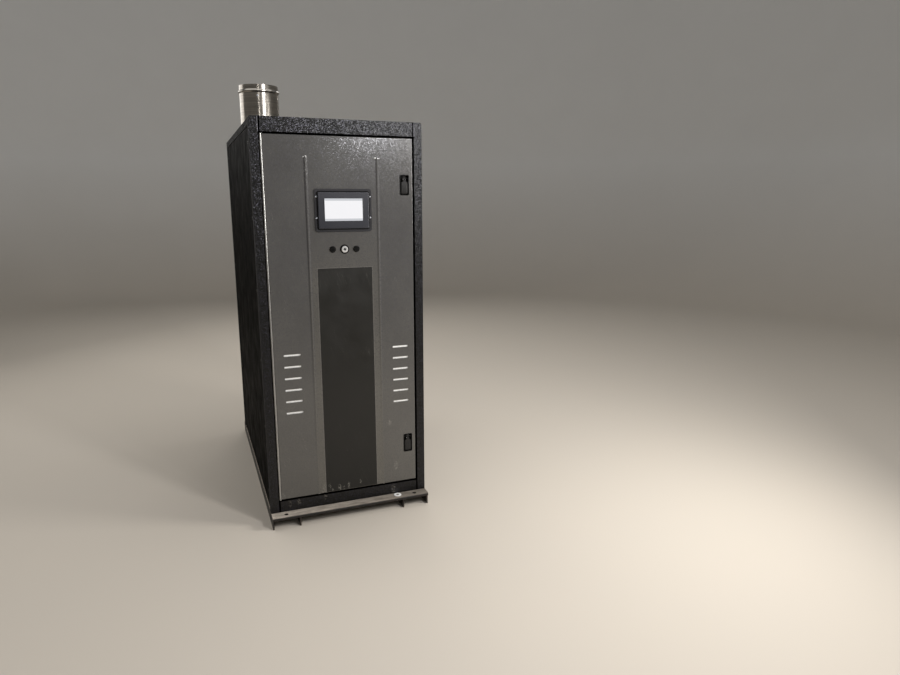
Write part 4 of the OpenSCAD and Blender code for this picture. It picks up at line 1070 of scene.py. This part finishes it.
# %% Core of the key switch
r = np.linspace(1, 0, 12)[:, None]
a = np.linspace(0, 2 * math.pi, 40, endpoint=False)[None]
keyway = np.clip(1 - np.abs(r * np.cos(a)) / 0.18, 0, 1) * np.clip((0.8 - r) / 0.1, 0, 1)
face = np.stack([5.4 * MM * r * np.cos(a), 5.4 * MM * r * np.sin(a),
                 MM * (1.1 - 0.4 * r - 0.7 * keyway)], -1)
core = np.concatenate([revolve([(0, -1 * MM), (5.4 * MM, -1 * MM)], 40), face])
piece("key_core", [stand(core, (0, -1, 0), (key_mid.x, key_low.y + 2 * MM, key_mid.z))],
      "door", "switch_black")
piece("key_plug", [stand(dome(2.4 * MM, 0.7 * MM), (0, -1, 0),
                         (key_mid.x, key_low.y + 1.7 * MM, key_mid.z))], "door", "zinc")

# %% [markdown]
# Behind the door sheet, a hexagon nut holds each of the three controls.

# %% Nuts behind the switches
PITCH, SHEET_BACK_Y = 0.050, -0.633
nut = [(0, 0), (13.5 * MM, 0), (14.5 * MM, 0.8 * MM), (14.5 * MM, 3.6 * MM),
       (13.5 * MM, 4.4 * MM), (0, 4.4 * MM)]
spots = [(key_mid.x + k * PITCH, SHEET_BACK_Y, key_mid.z) for k in (-1, 0, 1)]
piece("switch_nuts", copies(revolve(nut, 48, hexagon_radius), (0, 1, 0), spots), "door",
      "switch_black", smooth=False)

# %% [markdown]
# The hinge pin is headed at both ends, so that it cannot slide out.

# %% Heads of the hinge pin
pin_low, pin_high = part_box("hinge_pin")
pin_mid = (pin_low + pin_high) / 2
piece("hinge_pin_heads",
      [stand(dome(4.4 * MM, 2.6 * MM), (0, 0, -1), (pin_mid.x, pin_mid.y, pin_low.z)),
       stand(dome(4.4 * MM, 2.6 * MM), (0, 0, 1), (pin_mid.x, pin_mid.y, pin_high.z))],
      "cabinet", "hinge_steel")

# %% [markdown]
# ## Small pieces of the cabinet
# One bright washer lies on the base in front of the bottom band, with the dark end of
# a stud in it. Its place was read from the photograph on the base's top.

# %% Washer and stud on the base
ring = [(6 * MM, 0), (16.4 * MM, 0), (17 * MM, 0.6 * MM), (17 * MM, 2.2 * MM),
        (16.4 * MM, 2.8 * MM), (6.6 * MM, 2.8 * MM), (6 * MM, 2.2 * MM), (6 * MM, 0)]
stud = [(0, 0), (5.4 * MM, 0), (5.4 * MM, 3.0 * MM), (4.8 * MM, 3.6 * MM), (0, 3.6 * MM)]
base_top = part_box("base_cross_front")[1].z
bolt_place = (0.211, -0.657, base_top)
piece("base_washer", [stand(revolve(ring, 36), (0, 0, 1), bolt_place)], "cabinet",
      "zinc", "bright_plating_and_glint", smooth=False)
piece("base_stud", [stand(revolve(stud, 24), (0, 0, 1), bolt_place)], "cabinet",
      "pipe_black", smooth=False)

# %% [markdown]
# The side and rear panels and the roof's turned-down edges are held by low domed
# screws, set in rows.

# %% Panel screws
side_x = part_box("side_panel_right")[1].x
rear_low, rear_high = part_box("rear_panel")
dome_screw = cross_screw(6.5 * MM, 2.6 * MM)
rows_z, SIDE_Y = np.linspace(0.14, 1.60, 6), 0.573
grids = []
for side in (-1, 1):
    spots = [(side * side_x, end * SIDE_Y, z) for end in (-1, 1) for z in rows_z]
    grids += copies(dome_screw, (side, 0, 0), spots)
spots = [(x, rear_high.y, z) for x in (rear_low.x + 14 * MM, rear_high.x - 14 * MM)
         for z in rows_z]
spots += [(x, rear_high.y, z) for x in (-0.1, 0.1)
          for z in (rows_z[0] - 0.06, rows_z[-1] + 0.035)]
grids += copies(dome_screw, (0, 1, 0), spots)
piece("panel_screws", grids, "cabinet", "switch_black")
roof_screw = cross_screw(5 * MM, 1.8 * MM)
roof_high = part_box("roof_panel")[1]
edge_z = roof_high.z - 22 * MM
grids = []
for side in (-1, 1):
    grids += copies(roof_screw, (side, 0, 0),
                    [(side * roof_high.x, y, edge_z) for y in (-0.45, -0.15, 0.15, 0.45)])
grids += copies(roof_screw, (0, 1, 0), [(x, roof_high.y, edge_z) for x in (-0.22, 0, 0.22)])
piece("roof_screws", grids, "cabinet", "frame_black")

# %% [markdown]
# The gas pipe ends in a pipe thread. A thread is a radius that depends on both the
# height and the angle, so its ridge climbs one pitch each turn.

# %% Thread of the gas pipe
def thread_grid(radius, z0, z1, pitch, depth, turns=48):
    """r(z, a) = radius + depth cos(2 pi z / pitch - a), faded at both ends."""
    z = np.arange(z0, z1, pitch / 8)
    a = np.linspace(0, 2 * math.pi, turns, endpoint=False)
    zz, aa = np.meshgrid(z, a, indexing="ij")
    fade = np.clip(np.minimum(zz - z0, z1 - zz) / pitch, 0, 1)
    r = radius + depth * fade * np.cos(2 * math.pi * zz / pitch - aa)
    outside = np.stack([r * np.cos(aa), r * np.sin(aa), zz], -1)
    inner = outside * np.array([0.96, 0.96, 1])
    return np.concatenate([outside, inner[::-1], outside[:1]])


gas_low, gas_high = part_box("gas_inlet")
gas_mid = (gas_low + gas_high) / 2
thread = thread_grid(17.0 * MM, gas_high.z - 40 * MM, gas_high.z - 1 * MM, 2.2 * MM, 0.35 * MM)
piece("gas_thread", [thread + np.array([gas_mid.x, gas_mid.y, 0])], "cabinet", "pipe_black")

# %% [markdown]
# The flue pipe has a lengthwise weld, three screws below its joint and a bead of
# sealant where the collar meets it.

# %% Weld, screws and sealant of the flue
FLUE_R = 101.5 * MM
flue_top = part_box("flue_riser")[1].z
collar_low, collar_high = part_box("flue_collar")
flue_mid, collar_top = (collar_low + collar_high) / 2, collar_high.z
a = np.linspace(0, 2 * math.pi, 12)
tube = np.stack([FLUE_R + (2.5 + 3.5 * np.cos(a)) * MM, collar_top + 3 * MM * np.sin(a)], -1)
piece("flue_sealant", [revolve(tube, 72) + np.array([flue_mid.x, flue_mid.y, 0])],
      "cabinet", "pvc_grey")


def weld_strip(z0, z1, angle, width=5 * MM, height=0.9 * MM):
    """A low ridge up the pipe with a ripple every 3 mm: rows go up, columns round."""
    z = np.arange(z0, z1, 1 * MM)
    b = np.linspace(0, 2 * math.pi, 10, endpoint=False)
    ripple = 1 + 0.18 * np.sin(z * 2 * math.pi / (3 * MM))
    ends = np.clip(np.minimum(z - z0, z1 - z) / (2 * MM), 0.001, 1)
    reach = FLUE_R + height * (ripple * ends)[:, None] * np.sin(b)[None]
    turn = angle + (width / 2 / FLUE_R) * ends[:, None] * np.cos(b)[None]
    return np.stack([flue_mid.x + reach * np.cos(turn), flue_mid.y + reach * np.sin(turn),
                     np.broadcast_to(z[:, None], reach.shape)], -1)


piece("flue_weld", [weld_strip(collar_top + 4 * MM, flue_top - 42 * MM, math.radians(-25))],
      "cabinet", "stainless")
grids = []
for angle in np.radians((-100, 20, 140)):
    outward = (math.cos(angle), math.sin(angle), 0)
    foot = (flue_mid.x + FLUE_R * outward[0], flue_mid.y + FLUE_R * outward[1],
            flue_top - 56 * MM)
    grids.append(stand(revolve([(0, 0), (5 * MM, 0), (5 * MM, 1 * MM), (3.5 * MM, 1.2 * MM),
                                (3.5 * MM, 4 * MM), (0, 4 * MM)], 24, hexagon_radius),
                       outward, foot))
piece("flue_screws", grids, "cabinet", "zinc", smooth=False)

# %% [markdown]
# ## Behind the door
# With the door open, the burner shows. Its motor has cooling fins and a domed cover.
# The fins are one profile with a ridge for each, turned round the motor's axis.

# %% Fins of the blower's motor
blower_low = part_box("burner_blower")[0]
MOTOR_R, MOTOR_X, MOTOR_Z = 60 * MM, 20 * MM, 1.465
fins = [(0, 0)]
for k in range(9):
    start = (6 + k * 10) * MM
    fins += [(MOTOR_R + 1 * MM, start), (MOTOR_R + 8 * MM, start + 1 * MM),
             (MOTOR_R + 8 * MM, start + 3 * MM), (MOTOR_R + 1 * MM, start + 4 * MM)]
fins.append((0, fins[-1][1]))
piece("motor_fins", [stand(revolve(fins, 64), (0, 1, 0), (MOTOR_X, blower_low.y, MOTOR_Z))],
      "cabinet", "aluminium", smooth=False)
cap_profile = [(0, 0)] + [(MOTOR_R * 1.05 * math.sin(t), -12 * MM * math.cos(t))
                          for t in np.linspace(0.05, math.pi / 2, 12)] + [(0, 2 * MM)]
piece("motor_cover", [stand(revolve(cap_profile, 64), (0, 1, 0),
                            (MOTOR_X, blower_low.y, MOTOR_Z))], "cabinet", "switch_black")

# %% [markdown]
# The vessel's jacket is one sheet bent round the insulation, lapped towards the front
# and riveted along the lap. Copies of one rivet, in two columns, mark the lap.

# %% Rivets of the vessel's jacket
VESSEL_R, VESSEL_Y = 0.270, -0.020
rivet = revolve([(0, 0), (4 * MM, 0), (3.4 * MM, 1.1 * MM), (2 * MM, 1.8 * MM), (0, 2 * MM)], 16)
grids = []
for angle in np.radians((-62, -58)):
    outward = (math.cos(angle), math.sin(angle), 0)
    for z in np.linspace(0.34, 1.16, 12):
        grids.append(stand(rivet, outward, (VESSEL_R * outward[0],
                                            VESSEL_Y + VESSEL_R * outward[1], z)))
piece("jacket_rivets", grids, "cabinet", "zinc")

# %% [markdown]
# The electrical box has a lid with four screws and a row of cable glands below it.
# The glands are hexagons, so that a spanner can hold them.

# %% Screws and glands of the electrical box
box_low, box_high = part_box("control_box")
lid_x = box_high.x
spots = [(lid_x, y, z) for y in (box_low.y + 16 * MM, box_high.y - 16 * MM)
         for z in (box_low.z + 16 * MM, box_high.z - 16 * MM)]
grids = copies(cross_screw(6 * MM, 3 * MM), (1, 0, 0), spots)
piece("box_screws", grids, "cabinet", "zinc")
gland = [(0, 0), (13 * MM, 0), (13 * MM, 6 * MM), (11 * MM, 7 * MM), (11 * MM, 16 * MM),
         (8 * MM, 20 * MM), (0, 20 * MM)]
spots = [(box_low.x + 70 * MM, box_low.y + k * 50 * MM + 50 * MM, box_low.z + 4 * MM)
         for k in range(4)]
piece("box_glands", copies(revolve(gland, 36, hexagon_radius), (0, 0, -1), spots),
      "cabinet", "switch_black", smooth=False)
print("pieces", made_pieces)

# %% [markdown]
# ## Floor, backdrop and light
# The floor runs into a round wall through a cove, like the paper sweep of a photo
# studio, so every view has the same plain pale ground. It is a profile carried
# round the boiler.

# %% Floor and backdrop
sweep_r, cove_r, wall_h = 9.0, 2.5, 7.0
t = np.linspace(0, math.pi / 2, 16)
sweep = np.concatenate([[[0, 0], [2, 0], [4, 0]],
                        np.stack([sweep_r - cove_r + cove_r * np.sin(t),
                                  cove_r - cove_r * np.cos(t)], -1), [[sweep_r, wall_h]]])
studio = bpy.data.meshes.new("studio_sweep")
grid = revolve(sweep, 96)
studio.from_pydata(grid.reshape(-1, 3), [], grid_faces(len(sweep), 96, 0).tolist())
studio.polygons.foreach_set("use_smooth", np.full(len(studio.polygons), True))
ground = bpy.data.objects.new("studio_sweep", studio)
bpy.context.scene.collection.objects.link(ground)
tree, coords, shader = new_material("studio_paper")
up_wall = spread(tree, along(tree, coords, "Z"), 0.0, 2.0)
paper = mix(tree, up_wall, rgb(206, 197, 184), rgb(236, 235, 232))
feed(tree, shader, Roughness=0.9, Specular_IOR_Level=0.2, Base_Color=mix(
    tree, spread(tree, noise(tree, coords, 2.0, 4.0), 0.3, 0.7, 0.0, 0.05), paper,
    rgb(190, 188, 184)))
studio.materials.append(finishes["studio_paper"])
ground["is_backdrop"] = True

# %% [markdown]
# The light is soft and comes mostly from above, as from rows of ceiling lamps. A very
# small lamp stands where the door's upper right mirrors it to the camera, and gives
# the grainy glow there. A larger one above it widens the glow and makes the top band
# sparkle, and a broad one at the right lifts the lower door and the frame. One lamp
# lights the back. The last three are for the flue, whose round steel draws each of
# them as a streak. The lamps themselves are hidden from the camera.

# %% Lamps and world
def lamp(name, place_at, aim, size, power, colour=(1.0, 0.98, 0.95)):
    """A rectangular area lamp that points at aim."""
    data = bpy.data.lights.new(name, "AREA")
    data.shape, data.size, data.size_y = "RECTANGLE", *size
    data.energy, data.color = power, colour
    thing = bpy.data.objects.new(name, data)
    thing.location = place_at
    way = Vector(aim) - Vector(place_at)
    thing.rotation_euler = way.to_track_quat("-Z", "Y").to_euler()
    thing.visible_camera = False
    bpy.context.scene.collection.objects.link(thing)


lamp("ceiling", (0.3, 0.2, 4.4), (0.1, -1.8, 0), (5.0, 2.5), 69, (1.0, 0.99, 0.98))
lamp("glow", (0.90, -3.36, 2.04), (0.15, -0.6, 1.6), (0.12, 0.06), 8.0, (0.96, 0.96, 1.0))
lamp("high_right", (1.40, -3.36, 2.75), (0.1, -0.6, 1.6), (0.4, 0.2), 33, (0.96, 0.96, 1.0))
lamp("front_right", (2.1, -1.8, 1.6), (0.1, -0.6, 1.2), (0.7, 0.7), 43)
lamp("back", (0.6, 4.2, 3.4), (0, 0, 0.9), (3.0, 1.6), 40)
lamp("streak_front", (1.50, -3.6, 2.4), (-0.2, 0.3, 1.8), (0.30, 1.2), 16)
lamp("streak_behind", (-0.92, -5.0, 2.5), (-0.2, 0.3, 1.8), (0.16, 1.2), 8)
lamp("streak_left", (-2.4, 2.8, 2.3), (-0.2, 0.3, 1.9), (3.0, 0.9), 21)
world = bpy.data.worlds.new("studio")
bpy.context.scene.world = world
world.use_nodes = True
sky = world.node_tree.nodes["Background"]
sky.inputs["Color"].default_value = (0.95, 0.97, 1.0, 1.0)
sky.inputs["Strength"].default_value = 0.23
bpy.context.scene.view_settings.view_transform = "Standard"

# %% Sizes and finish
low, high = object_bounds()
print("visual box", [round(v, 3) for v in (*low, *high)])
